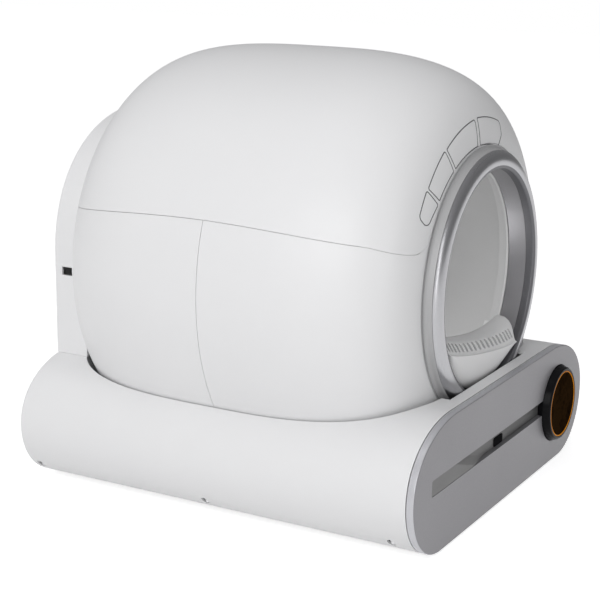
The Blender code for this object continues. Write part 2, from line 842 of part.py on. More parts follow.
def make_drawer():
    """The sliding waste drawer: front plate, grip strip, sensor window, bin and bag frame."""
    sections = (
        (front_y, plate_edge),
        (front_y + plate_edge * (1 - cos(pi / 4)), plate_edge * (1 - sin(pi / 4))),
        (front_y + plate_edge, 0),
        (front_y + plate_thickness, 0),
    )
    plate = loft([[(x, y, z) for x, z in base_outline(inset)] for y, inset in sections])
    low = strip_height - strip_width / 2
    high = strip_height + strip_width / 2
    pocket = box(strip_left, disc_x, front_y - overrun, front_y + strip_depth, low, high)
    plate = carve(plate, pocket)
    disc_hole = rod(front_y - overrun, front_y + plate_thickness + overrun, disc_radius + disc_hole_gap,
                    disc_steps, (disc_x, 0, disc_height))
    plate = carve(plate, disc_hole)
    add_part("drawer_front", plate, plate_silver, (0, front_y, 0))

    left = strip_left + seat_gap
    right = disc_x
    span = right - left
    fold = left + span * strip_fold_share
    ramp = fold + span * strip_ramp_share
    back = front_y + strip_depth - seat_gap
    floor_y = back - strip_floor
    face_y = front_y + seat_gap

    def strip_loop(height, slant):
        return [(left, face_y, height), (fold + slant, face_y, height), (ramp + slant, floor_y, height),
                (right, floor_y, height), (right, back, height), (left, back, height)]

    strip = loft([strip_loop(low + seat_gap, strip_slant), strip_loop(high - seat_gap, 0)])
    margin = disc_radius + disc_hole_gap + seat_gap
    round_end = rod(front_y - overrun, front_y + plate_thickness, margin, disc_steps,
                    (disc_x, 0, disc_height))
    strip = carve(strip, round_end)
    add_part("grip_strip", strip, strip_grey, (0, front_y, 0))

    window_x = left + span * window_place_share
    window_z = strip_height - window_drop
    window = box(window_x - window_width / 2, window_x + window_width / 2,
                 floor_y - seat_gap - window_thickness, floor_y - seat_gap,
                 window_z - window_height / 2, window_z + window_height / 2)
    add_part("sensor_window", window, gloss_black, (0, front_y, 0))

    start = front_y + plate_thickness + seat_gap
    shell = rounded_rectangle(bin_left, bin_right, start, bin_rear_y, bin_corner)
    rim = rounded_rectangle(bin_left - bin_flange, bin_right + bin_flange, start,
                            bin_rear_y + bin_flange / 2, bin_corner)
    inside = rounded_rectangle(bin_left + bin_wall, bin_right - bin_wall, start + bin_wall,
                               bin_rear_y - bin_wall, bin_corner - bin_wall)
    tub = prism_z(shell, bin_floor_height, bin_top - bin_flange_thickness / 2)
    tub = carve(tub, prism_z(rim, bin_top - bin_flange_thickness, bin_top), "UNION")
    tub = carve(tub, prism_z(inside, bin_floor_height + bin_wall, bin_top + overrun))
    add_part("drawer_bin", tub, bin_plastic, (0, front_y, 0))

    outer = prism_z(shell, bin_top + seat_gap, bin_top + seat_gap + bag_frame_height)
    hole = rounded_rectangle(bin_left + 2 * bin_wall, bin_right - 2 * bin_wall, start + 2 * bin_wall,
                             bin_rear_y - 2 * bin_wall, bin_corner - 2 * bin_wall)
    bag_frame = carve(outer, prism_z(hole, bin_top - overrun, bin_top + overrun))
    add_part("bag_frame", bag_frame, frame_plastic, (0, front_y, 0))


def make_controls():
    """The round control pod in its hole, with its glowing ring, lens, board and power inlet."""
    face = front_y - disc_reach
    centre = (disc_x, 0, disc_height)
    seat_radius = glow_radius + seat_gap
    back = frame_back_y + seat_gap
    flange = disc_radius + disc_flange - seat_gap
    profile = [
        (face + lens_sink, 0), (face + lens_sink, seat_radius), (face, seat_radius),
        (face, disc_face_radius), (face + disc_chamfer, disc_rim_radius), (front_y, disc_radius),
        (back, disc_radius), (back, flange),
        (back + disc_flange_thickness, flange), (back + disc_flange_thickness, 0),
    ]
    add_part("control_pod", turned(profile, disc_steps, centre, closed=False), gloss_black)
    glow = tube(face, face + lens_sink - seat_gap, glow_radius - glow_width, glow_radius,
                disc_steps, centre)
    add_part("glow_ring", glow, glow_orange)
    lens_back = face + lens_sink - seat_gap
    lens = rod(lens_back - lens_thickness, lens_back, glow_radius - glow_width - seat_gap,
               disc_steps, centre)
    add_part("display_lens", lens, gloss_black)

    low = pan_top + board_lift + seat_gap
    start = front_y + board_setback
    board = box(board_left, board_left + board_width, start, start + board_length,
                low, low + board_thickness)
    add_part("control_board", board, board_green)

    wall_y = rear_y - base_wall
    flange_front = wall_y - seat_gap
    flange_back = flange_front - base_wall
    inner_end = rear_y - inlet_length
    inlet_profile = [
        (inner_end + inlet_bore, 0), (inner_end + inlet_bore, inlet_bore), (rear_y, inlet_bore),
        (rear_y, inlet_radius), (flange_front, inlet_radius),
        (flange_front, inlet_radius + inlet_flange), (flange_back, inlet_radius + inlet_flange),
        (flange_back, inlet_radius), (inner_end, inlet_radius), (inner_end, 0),
    ]
    inlet = turned(inlet_profile, small_steps, (disc_x, 0, inlet_height), closed=False)
    add_part("power_inlet", inlet, gloss_black)


def make_drum():
    """The turning drum: a front half with its lip, and a rear half with the waste port."""
    split = drum_front_y + drum_split_setback
    start = drum_front_y
    lip_end = start + drum_lip_length
    shoulder = lip_end + drum_nose
    lip_outer = drum_lip_radius + drum_wall

    def nose(outset):
        points = []
        steps = 3
        inner = lip_outer + outset
        outer = drum_radius + outset
        for step in range(steps + 1):
            angle = pi / 2 * step / steps
            along = lip_end - outset + (drum_nose + outset) * (1 - cos(angle))
            points.append((along, inner + (outer - inner) * sin(angle)))
        return points

    outside = [(start, lip_outer)] + nose(0) + [(split - seat_gap / 2, drum_radius)]
    inside = [(start, drum_lip_radius)] + nose(-drum_wall)
    inside += [(split - seat_gap / 2, drum_radius - drum_wall)]
    front = turned(outside + inside[::-1], drum_steps, axis_point)
    add_part("drum_front", front, drum_grey, axis_point, park_angle)

    rear = drum_rear_y
    hole = hub_plug_radius + seat_gap

    def tail(inset):
        points = []
        steps = 3
        for step in range(steps + 1):
            angle = pi / 2 * step / steps
            along = rear - drum_rear_round + (drum_rear_round - inset) * sin(angle)
            points.append((along, drum_radius - drum_rear_round + (drum_rear_round - inset) * cos(angle)))
        return points

    outside = [(split + seat_gap / 2, drum_radius)] + tail(0) + [(rear, hole)]
    inside = [(split + seat_gap / 2, drum_radius - drum_wall)] + tail(drum_wall)
    inside += [(rear - drum_wall, hole)]
    back = turned(outside + inside[::-1], drum_steps, axis_point)
    port = rounded_rectangle(-port_half_width, port_half_width, housing_y - port_lead,
                             rear - port_end_room, port_corner)
    back = carve(back, prism_z(port, axis_height + drum_radius / 2, axis_height + drum_radius + overrun))
    add_part("drum_rear", back, drum_grey, axis_point, park_angle)


# Shares of the sill's depth, and of its rise at the middle and at the ends
sill_shares = (
    (0.00, 0.02, 0.18),
    (0.03, 0.11, 0.33),
    (0.08, 0.14, 0.50),
    (0.20, 0.42, 0.75),
    (0.36, 0.58, 0.93),
    (0.60, 0.76, 1.00),
    (0.83, 0.91, 1.00),
    (1.00, 0.80, 0.90),
)


def sill_section(depth_share, middle_share, end_share):
    """One slice of the sill: a dished top edge over a round underside."""
    y = sill_front_y + sill_depth * depth_share
    middle = sill_drop - sill_rise * middle_share
    end = sill_drop - sill_rise * end_share
    reach = ring_inner_radius - sill_gap
    half = sqrt(reach ** 2 - end ** 2)
    curl = max(0, 1 - sill_depth * depth_share / sill_bulge)
    fullness = sqrt(1 - curl ** 2)
    steps = 8
    top = []
    under = []
    for step in range(steps + 1):
        share = 1 - 2 * step / steps
        across = half * share
        drop = middle + (end - middle) * share ** 2
        top.append((across, y, axis_height - drop))
        full = sqrt(max(reach ** 2 - across ** 2, 0))
        low = drop + max((full - drop) * fullness, 0)
        low = max(low, drop + sill_nose * (1 - share ** 2))
        under.append((across, y, axis_height - low))
    return top + under[-2:0:-1]


def make_sill():
    """The ribbed sill that keeps the litter in, seen inside the ring."""
    body = loft([sill_section(*shares) for shares in sill_shares])
    reach = ring_inner_radius - sill_gap
    back = sill_front_y + sill_depth
    lap = reach - sill_flange_width
    outer = drum_lip_radius - seat_gap / cos(pi / drum_steps)
    angles = [2 * pi * step / drum_steps for step in range(-sill_flange_steps, sill_flange_steps + 1)]
    band = [(outer * sin(a), axis_height - outer * cos(a)) for a in angles]
    band += [(lap * sin(a), axis_height - lap * cos(a)) for a in reversed(angles)]
    start = sleeve_front_y + sleeve_length + sleeve_end_gap
    end = drum_front_y + drum_lip_length
    flange = prism_y(band, max(start, back - sill_nose), end)
    body = carve(body, flange, "UNION")
    lift = sill_rise * (sill_shares[2][1] + sill_shares[3][1]) / 2
    foot_y = sill_front_y + sill_depth * (sill_shares[2][0] + sill_shares[3][0]) / 2
    slots = []
    rise = sill_rise * (sill_shares[3][1] - sill_shares[2][1])
    run = sill_depth * (sill_shares[3][0] - sill_shares[2][0])
    lean = asin(run / sqrt(run ** 2 + rise ** 2))
    for index in range(rib_count):
        x = rib_pitch * (index - (rib_count - 1) / 2)
        slot = box(-rib_slot / 2, rib_slot / 2, -rib_depth, rib_depth, -rib_length / 2, rib_length / 2)
        place = Matrix.Translation((x, foot_y, axis_height - sill_drop + lift))
        bmesh.ops.transform(slot, verts=slot.verts, matrix=place @ Matrix.Rotation(-lean, 4, "X"))
        slots.append(slot)
    body = carve(body, join_shapes(slots))
    add_part("entry_sill", body, shell_white, axis_point, park_angle)


def screen_angles():
    """The angles of the screen's bends, which stand at the drum's own facet corners."""
    return [2 * pi * step / drum_steps for step in range(screen_start_step, screen_end_step + 1)]


def screen_radius(angle):
    """Distance of the screen from the axis at an angle: it leaves the wall and then runs beside it."""
    share = (angle - screen_angles()[0]) / (screen_angles()[-1] - screen_angles()[0])
    wall = drum_radius - drum_wall - seat_gap / cos(pi / drum_steps)
    return wall - screen_depth * sin(min(share * 2, 1) * pi / 2)


def make_screen():
    """The slotted screen that sifts the litter while the drum turns."""
    wall = drum_radius - drum_wall - seat_gap / cos(pi / drum_steps)
    angles = screen_angles()
    front = housing_y - screen_lead
    back = drum_rear_y - screen_end_room

    def point(radius, angle):
        return (radius * cos(angle), axis_height + radius * sin(angle))

    face = [point(screen_radius(a) - screen_thickness, a) for a in angles]
    edge = [point(wall, a) for a in reversed(angles)]
    whole = prism_y(face + edge, front, back)
    screen_end = angles[-1]
    bend = 2 * pi / drum_steps
    pocket_angles = [angles[1] + bend * slot_end_share] + angles[2:] + [screen_end + bend]
    hollow = [point(screen_radius(min(a, screen_end)), a) for a in pocket_angles]
    hollow += [point(wall + overrun, a) for a in reversed(pocket_angles)]
    whole = carve(whole, prism_y(hollow, front + screen_thickness, back - screen_thickness))
    cuts = []
    low = axis_height - drum_radius * slot_low_share
    high = axis_height + drum_radius * slot_high_share
    row = (high - low) / slot_rows
    pitch = (back - front - 2 * screen_thickness) / (slot_count + 2 * slot_end_share)
    half = pitch * slot_width_share / 2
    reach = (drum_radius - screen_depth) * slot_reach_share
    for index in range(slot_count):
        y = front + screen_thickness + pitch * (index + slot_end_share + 1 / 2)
        for level in range(slot_rows):
            start = low + row * level + screen_thickness
            end = low + row * (level + 1) - screen_thickness
            cuts.append(box(-drum_radius, -reach, y - half, y + half, start, end))
    whole = carve(whole, join_shapes(cuts))
    add_part("sifting_screen", whole, drum_grey, axis_point, park_angle)


def involute(angle):
    """The involute function of a pressure angle."""
    return tan(angle) - angle


def gear_outline(teeth, centre_x, phase, flank_steps):
    """A spur gear's outline about the axis height, with involute flanks and backlash."""
    pitch = gear_module * teeth / 2
    root = pitch - gear_module * root_share
    tip = pitch + gear_module * tip_share
    base = pitch * cos(pressure_angle)
    half_at_pitch = pi / (2 * teeth) - gear_backlash / (2 * pitch)
    points = []
    for tooth in range(teeth):
        middle = phase + 2 * pi * tooth / teeth
        flank = []
        for step in range(flank_steps + 1):
            radius = root + (tip - root) * step / flank_steps
            local = acos(base / max(radius, base)) if radius > base else 0
            half = half_at_pitch + involute(pressure_angle) - involute(local)
            flank.append((radius, half))
        for radius, half in flank:
            angle = middle - half
            points.append((centre_x + radius * cos(angle), axis_height + radius * sin(angle)))
        for radius, half in reversed(flank):
            angle = middle + half
            points.append((centre_x + radius * cos(angle), axis_height + radius * sin(angle)))
    return points


def make_drive():
    """Ring gear, hub and shaft on the drum, and the pinion with its shaft."""
    gear = prism_y(gear_outline(gear_teeth, 0, 0, 1), gear_y, gear_y + gear_width)
    bore = rod(gear_y - overrun, gear_y + gear_width + overrun, gear_bore, bearing_steps, axis_point)
    gear = carve(gear, bore)
    add_part("ring_gear", gear, gear_nylon, axis_point)

    bore_radius = shaft_radius + seat_gap
    hub_profile = [
        (gear_y - drum_wall, bore_radius), (gear_y - drum_wall, hub_plug_radius),
        (gear_y, hub_plug_radius), (gear_y, hub_radius), (gear_y + hub_thickness, hub_radius),
        (gear_y + hub_thickness, hub_plug_radius + hub_thickness),
        (gear_y + gear_width, hub_plug_radius + hub_thickness), (gear_y + gear_width, bore_radius),
    ]
    hub = turned(hub_profile, bearing_steps, axis_point)
    add_part("drum_hub", hub, gear_nylon, axis_point)
    shaft_end = plate_rear_y + hub_thickness
    shaft = rod(gear_y - drum_wall, shaft_end, shaft_radius, small_steps, axis_point)
    add_part("hub_shaft", shaft, steel, axis_point)

    tooth_phase = pi / pinion_teeth
    teeth = prism_y(gear_outline(pinion_teeth, pinion_x, tooth_phase, 3), gear_y + seat_gap,
                    gear_y + gear_width)
    hole = rod(gear_y - overrun, gear_y + gear_width + overrun, pinion_shaft_radius + seat_gap,
               small_steps, pinion_point)
    add_part("pinion", carve(teeth, hole), gear_nylon, pinion_point)
    spindle = rod(gear_y, gearbox_rear_y() - bush_flange, pinion_shaft_radius, small_steps, pinion_point)
    add_part("pinion_shaft", spindle, steel, pinion_point)


def gearbox_rear_y():
    """The gearbox's rear face, just in front of the tower's rear cover."""
    return rear_y - tower_cover_thickness - tower_wall


def make_bearing_and_motor():
    """What the tower's plate carries: bearing housing, bush, gearbox and motor."""
    bush_inner = shaft_radius + seat_gap
    bush_outer = bush_inner + bush_wall
    housing_inner = bush_outer + seat_gap
    housing_outer = housing_inner + bearing_wall
    flange_y = plate_rear_y + seat_gap
    end_y = flange_y + tower_plate_thickness
    start_y = flange_y - bearing_length
    profile = [
        (start_y, housing_inner), (start_y, housing_outer), (flange_y, housing_outer),
        (flange_y, housing_outer + bearing_flange), (end_y, housing_outer + bearing_flange),
        (end_y, housing_inner),
    ]
    add_part("bearing_housing", turned(profile, bearing_steps, axis_point), frame_plastic)
    collar_y = start_y - seat_gap - bush_flange / 2
    bush_profile = [
        (collar_y, bush_inner), (collar_y, bush_outer + bush_flange),
        (start_y - seat_gap, bush_outer + bush_flange), (start_y - seat_gap, bush_outer),
        (end_y, bush_outer), (end_y, bush_inner),
    ]
    add_part("hub_bush", turned(bush_profile, bearing_steps, axis_point), bronze)

    left = pinion_x - gearbox_width / 2
    right = pinion_x + gearbox_width / 2
    low = axis_height - gearbox_height / 2
    high = axis_height + gearbox_height / 2
    outline = rounded_rectangle(left, right, low, high, gearbox_corner)
    case = prism_y(outline, plate_rear_y + seat_gap, gearbox_rear_y())
    bore_end = gearbox_rear_y() - bush_flange + 2 * seat_gap
    bore = rod(plate_y, bore_end, pinion_shaft_radius + seat_gap, small_steps, pinion_point)
    add_part("gearbox", carve(case, bore), frame_plastic)

    middle_y = (plate_rear_y + seat_gap + gearbox_rear_y()) / 2
    top = low - seat_gap
    neck = motor_radius / 2
    motor_length = (low - base_top) * motor_length_share
    motor_profile = [
        (top, 0), (top, neck), (top - gearbox_corner / 2, neck), (top - gearbox_corner / 2, motor_radius),
        (top - motor_length, motor_radius), (top - motor_length - gearbox_corner / 2, neck),
        (top - motor_length - gearbox_corner / 2, 0),
    ]
    motor = turned(motor_profile, bearing_steps, (pinion_x, middle_y, 0), "Z", closed=False)
    add_part("gear_motor", motor, steel)


def make_rollers():
    """Two rollers that carry the front of the drum, on pins in brackets on the deck."""
    start = drum_front_y + roller_setback
    end = start + roller_width
    for label, side in (("left", -1), ("right", 1)):
        x = side * roller_reach * sin(roller_angle)
        z = axis_height - roller_reach * cos(roller_angle)
        centre = (x, 0, z)
        bore = pin_radius + seat_gap
        roller = tube(start, end, bore, roller_radius, bearing_steps, centre)
        add_part("roller_" + label, roller, rubber, centre)
        front_ear = start - roller_play - ear_thickness
        rear_ear = end + roller_play
        pin = rod(front_ear - ear_thickness, rear_ear + 2 * ear_thickness, pin_radius, tiny_steps, centre)
        add_part("roller_pin_" + label, pin, steel)
        floor = deck_top + seat_gap
        top = z + ear_rise
        web = floor + ear_thickness
        outline = [
            (front_ear, floor), (rear_ear + ear_thickness, floor), (rear_ear + ear_thickness, top),
            (rear_ear, top), (rear_ear, web), (front_ear + ear_thickness, web),
            (front_ear + ear_thickness, top), (front_ear, top),
        ]
        bracket = prism_x(outline, x - ear_half_width, x + ear_half_width)
        hole = rod(front_ear - overrun, rear_ear + overrun, pin_radius + seat_gap, tiny_steps, centre)
        add_part("roller_bracket_" + label, carve(bracket, hole), frame_plastic)


def tower_outline(inset, floor):
    """The tower seen from behind: straight sides under a full arch."""
    half = tower_half_width - inset
    rise = tower_rise - inset
    steps = 16
    points = [(-half, floor)]
    for step in range(steps + 1):
        angle = pi - pi * step / steps
        side = cos(angle)
        across = abs(side) ** (2 / tower_power) * (half if side > 0 else -half)
        points.append((across, tower_spring + sin(angle) ** (2 / tower_power) * rise))
    points.append((half, floor))
    return points


def base_tool():
    """The base as a solid block with a seat's gap round it, for cutting what stands on it."""
    return prism_y(base_outline(-seat_gap), front_y - overrun, rear_y + overrun)


def tower_posts():
    """The four posts between the tower's plate and its rear cover, as (x, z)."""
    foot_side = tower_half_width - tower_foot_post_inset
    top_side = (tower_half_width - tower_post_inset) * cos(pi / 4)
    low = base_top + tower_post_margin
    high = tower_spring + (tower_rise - tower_post_margin) * sin(pi / 4)
    return [(-foot_side, low), (foot_side, low), (-top_side, high), (top_side, high)]


def make_tower():
    """The rear tower that holds the drive, with its plate, rear cover and screws."""
    floor = belt_height
    outer = prism_y(tower_outline(0, floor), tower_front_y, rear_y)
    inner = prism_y(tower_outline(tower_wall, floor - overrun), tower_front_y - overrun,
                    rear_y + overrun)
    shell = carve(outer, inner)
    shell = carve(shell, base_tool())
    shell = carve(shell, housing_solid(part_line, 0))
    slot_y = rear_y - tower_depth * tower_slot_place_share
    slot_z = axis_height - tower_slot_drop
    slot = box(-tower_half_width - overrun, -tower_half_width + overrun,
               slot_y - tower_slot_width, slot_y,
               slot_z - tower_slot_height / 2, slot_z + tower_slot_height / 2)
    shell = carve(shell, slot)
    add_part("tower_shell", shell, shell_white)

    fit = tower_wall + seat_gap
    plate = prism_y(tower_outline(fit, floor), plate_y, plate_rear_y)
    plate = carve(plate, base_tool())
    cover_y = rear_y - tower_cover_thickness
    posts = [rod(plate_y + tower_plate_thickness / 2, cover_y - seat_gap, tower_post_radius, tiny_steps,
                 (x, 0, z)) for x, z in tower_posts()]
    plate = carve(plate, join_shapes(posts), "UNION")
    bush_outer = shaft_radius + seat_gap + bush_wall
    housing_outer = bush_outer + seat_gap + bearing_wall
    holes = [
        rod(plate_y - overrun, plate_rear_y + overrun, housing_outer + seat_gap, bearing_steps,
            axis_point),
        rod(plate_y - overrun, plate_rear_y + overrun, pinion_shaft_radius + bearing_wall / 2,
            small_steps, pinion_point),
    ]
    plate = carve(plate, join_shapes(holes))
    add_part("tower_plate", plate, frame_plastic)

    cover = prism_y(tower_outline(fit, floor), cover_y, rear_y)
    cover = carve(cover, base_tool())
    lower_posts = tower_posts()[:2]
    holes = [rod(cover_y - overrun, rear_y + overrun, tower_screw_radius + seat_gap, tiny_steps,
                 (x, 0, z)) for x, z in lower_posts]
    cover = carve(cover, join_shapes(holes))
    add_part("tower_cover", cover, shell_white)
    for label, (x, z) in zip(("left", "right"), lower_posts):
        screw = rod(cover_y, cover_y + tower_screw_length, tower_screw_radius, tiny_steps, (x, 0, z))
        add_part("tower_screw_" + label, screw, steel)


def build():
    """Make every piece of the litter box."""
    clear_scene()
    make_base()
    make_bay()
    make_drawer()
    make_controls()
    make_lower_shells()
    make_cover()
    make_entrance()
    make_drum()
    make_sill()
    make_screen()
    make_drive()
    make_bearing_and_motor()
    make_rollers()
    make_tower()


build()
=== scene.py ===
from math import acos, asin, cos, pi, radians, sin, sqrt

import bpy
from mathutils import Matrix, Vector


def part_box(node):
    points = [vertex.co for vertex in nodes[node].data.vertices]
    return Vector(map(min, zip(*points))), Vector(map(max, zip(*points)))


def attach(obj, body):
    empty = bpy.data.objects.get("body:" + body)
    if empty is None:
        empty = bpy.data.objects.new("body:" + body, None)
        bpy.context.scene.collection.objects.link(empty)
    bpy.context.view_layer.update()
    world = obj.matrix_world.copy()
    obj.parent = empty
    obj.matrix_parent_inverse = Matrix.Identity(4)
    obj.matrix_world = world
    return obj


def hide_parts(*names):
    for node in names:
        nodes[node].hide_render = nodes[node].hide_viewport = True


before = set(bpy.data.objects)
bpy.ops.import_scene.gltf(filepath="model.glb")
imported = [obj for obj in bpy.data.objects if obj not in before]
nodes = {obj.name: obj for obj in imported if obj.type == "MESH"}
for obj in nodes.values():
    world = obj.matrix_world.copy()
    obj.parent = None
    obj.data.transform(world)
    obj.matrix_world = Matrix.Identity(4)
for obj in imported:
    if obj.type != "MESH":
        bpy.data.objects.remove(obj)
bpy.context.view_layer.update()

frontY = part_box("drawer_front")[0].y
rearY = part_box("base_shell")[1].y
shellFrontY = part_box("base_shell")[0].y
axisHeight = 0.2825
axisPoint = Vector((0, 0, axisHeight))
parkAngle = radians(8.8)                # how far the drum stands turned at rest
seatGap = 0.0003
overrun = 0.01                          # how far a cutter passes the faces that it cuts
sameSpot = 0.00001                      # places nearer than this are taken as one
print("frame loaded:", len(nodes), "nodes")


# modelling helpers, one operator after another as by hand

def dropSelection():
    if bpy.context.object and bpy.context.object.mode != "OBJECT":
        bpy.ops.object.mode_set(mode="OBJECT")
    bpy.ops.object.select_all(action="DESELECT")


def useOnly(*objects):
    dropSelection()
    for obj in objects:
        obj.select_set(True)
    bpy.context.view_layer.objects.active = objects[0]


def editAll(obj):
    useOnly(obj)
    bpy.ops.object.mode_set(mode="EDIT")
    bpy.ops.mesh.select_all(action="SELECT")


def leaveEdit():
    bpy.ops.object.mode_set(mode="OBJECT")


def settle(obj):                        # puts the object's place into its mesh
    useOnly(obj)
    bpy.ops.object.transform_apply(location=True, rotation=True, scale=True)
    return obj


def startVertex(name, point):           # a plane squeezed to one corner, ready to be extruded
    dropSelection()
    bpy.ops.mesh.primitive_plane_add(size=0.01, location=(0, 0, 0))
    obj = bpy.context.object
    obj.name = name
    bpy.ops.object.mode_set(mode="EDIT")
    bpy.ops.mesh.select_all(action="SELECT")
    bpy.ops.mesh.merge(type="CENTER")
    bpy.ops.transform.translate(value=point)
    return obj


def drawLine(name, points, filled=False):
    obj = startVertex(name, points[0])
    for before, after in zip(points, points[1:]):
        step = Vector(after) - Vector(before)
        bpy.ops.mesh.extrude_region_move(TRANSFORM_OT_translate={"value": step})
    bpy.ops.mesh.select_all(action="SELECT")
    if filled:
        bpy.ops.mesh.edge_face_add()
    return obj


def cleanUp():                          # in edit mode: merge doubles, point everything outwards
    bpy.ops.mesh.select_all(action="SELECT")
    bpy.ops.mesh.remove_doubles(threshold=0.00002)
    bpy.ops.mesh.normals_make_consistent(inside=False)
    bpy.ops.object.mode_set(mode="OBJECT")


def spinLine(name, points, turns, centre=axisPoint, axis=(0, 1, 0), closed=True):
    line = list(points) + ([points[0]] if closed else [])
    obj = drawLine(name, line)
    bpy.ops.mesh.spin(steps=turns, angle=2 * pi, center=centre, axis=axis)
    cleanUp()
    return obj


def pushShape(name, outline, travel):
    obj = drawLine(name, outline, filled=True)
    bpy.ops.mesh.select_all(action="SELECT")
    bpy.ops.mesh.extrude_region_move(TRANSFORM_OT_translate={"value": travel})
    cleanUp()
    return obj


def pickEdges(obj, wanted):             # selects edges by their two ends, in edit mode afterwards
    useOnly(obj)
    bpy.ops.object.mode_set(mode="EDIT")
    bpy.ops.mesh.select_mode(type="EDGE")
    bpy.ops.mesh.select_all(action="DESELECT")
    bpy.ops.object.mode_set(mode="OBJECT")
    verts = obj.data.vertices
    for edge in obj.data.edges:
        a, b = (verts[index].co for index in edge.vertices)
        edge.select = bool(wanted(a, b))
    bpy.ops.object.mode_set(mode="EDIT")


def roundEdges(obj, wanted, width, segments=3):
    pickEdges(obj, wanted)
    bpy.ops.mesh.bevel(offset=width, segments=segments, affect="EDGES", clamp_overlap=True)
    bpy.ops.mesh.select_mode(type="VERT")
    leaveEdit()
    return obj


def edgesAt(level):                     # for roundEdges: the edges that lie at one depth
    return lambda a, b: abs(a.y - level) < sameSpot and abs(b.y - level) < sameSpot


def carve(obj, *cutters, how="DIFFERENCE"):
    for cutter in cutters:
        useOnly(obj)
        cut = obj.modifiers.new("carve", "BOOLEAN")
        cut.operation = how
        cut.solver = "EXACT"
        cut.object = cutter
        bpy.ops.object.modifier_apply(modifier=cut.name)
        bpy.data.objects.remove(cutter, do_unlink=True)
    editAll(obj)
    bpy.ops.mesh.remove_doubles(threshold=0.000005)
    leaveEdit()
    return obj


def block(name, low, high):             # a plain cutter between two corners
    dropSelection()
    low, high = Vector(low), Vector(high)
    bpy.ops.mesh.primitive_cube_add(size=1, location=(low + high) / 2)
    obj = bpy.context.object
    obj.name = name
    obj.scale = high - low
    return settle(obj)


def drill(name, centre, radius, low, high, axis="Y", sides=48):
    dropSelection()
    turn = {"X": (0, pi / 2, 0), "Y": (pi / 2, 0, 0), "Z": (0, 0, 0)}[axis]
    place = Vector(centre)
    place["XYZ".index(axis)] = (low + high) / 2
    bpy.ops.mesh.primitive_cylinder_add(vertices=sides, radius=radius, depth=high - low,
                                        location=place, rotation=turn)
    obj = bpy.context.object
    obj.name = name
    return settle(obj)


def finishPiece(obj, body, slotName, *materials, standsFor=(), sharp=32):
    useOnly(obj)
    obj.data.materials.clear()
    for each in materials:
        obj.data.materials.append(each)
    bpy.ops.object.shade_smooth_by_angle(angle=radians(sharp))
    even = obj.modifiers.new("evenShading", "WEIGHTED_NORMAL")
    even.keep_sharp = True
    even.weight = 100
    bpy.ops.object.modifier_apply(modifier=even.name)
    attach(obj, body)
    if standsFor:
        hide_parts(*standsFor)
    dropSelection()
    return obj


def paintFaces(obj, index, wanted):     # gives faces another material by their place or normal
    for face in obj.data.polygons:
        if wanted(face.center, face.normal):
            face.material_index = index


def shares(power, count):               # quarter of a rounded square: (across, up) from 0,1 to 1,0
    points = []
    for step in range(count + 1):
        angle = pi / 2 * step / count
        points.append((sin(angle) ** (2 / power), max(cos(angle), 0) ** (2 / power)))
    return points


def roundBox(left, right, low, high, radius, steps=6):
    points = []
    for quarter, (x, z) in enumerate(((right - radius, high - radius), (left + radius, high - radius),
                                      (left + radius, low + radius), (right - radius, low + radius))):
        for step in range(steps + 1):
            angle = (quarter + step / steps) * pi / 2
            points.append((x + radius * cos(angle), z + radius * sin(angle)))
    return points


# shader groups, built once and placed in the materials with their own values

def addNode(tree, kind, inputs=None, **values):
    node = tree.nodes.new(kind)
    for key, value in values.items():
        setattr(node, key, value)
    for key, value in (inputs or {}).items():
        node.inputs[key].default_value = value
    return node


def makeGroup(name, inputs, outputs):
    group = bpy.data.node_groups.new(name, "ShaderNodeTree")
    for label, kind, value in inputs:
        socket = group.interface.new_socket(name=label, in_out="INPUT", socket_type=kind)
        socket.default_value = value
    for label, kind in outputs:
        group.interface.new_socket(name=label, in_out="OUTPUT", socket_type=kind)
    start = group.nodes.new("NodeGroupInput")
    end = group.nodes.new("NodeGroupOutput")
    return group, start, end


number, colour = "NodeSocketFloat", "NodeSocketColor"


def blendTones(group, start, end, factor, second):      # the group's two colours, mixed by a mask
    link = group.links.new
    blend = addNode(group, "ShaderNodeMix", data_type="RGBA")
    link(factor, blend.inputs["Factor"])
    link(start.outputs["Color"], blend.inputs[6])
    link(start.outputs[second], blend.inputs[7])
    link(blend.outputs[2], end.inputs["Color"])


def driftRoughness(group, start, end, pattern):         # roughness that wanders with a pattern
    link = group.links.new
    centre = addNode(group, "ShaderNodeMath", {1: 0.5}, operation="SUBTRACT")
    link(pattern, centre.inputs[0])
    drift = addNode(group, "ShaderNodeMath", operation="MULTIPLY_ADD")
    link(centre.outputs[0], drift.inputs[0])
    link(start.outputs["Roughness Drift"], drift.inputs[1])
    link(start.outputs["Roughness"], drift.inputs[2])
    link(drift.outputs[0], end.inputs["Roughness"])


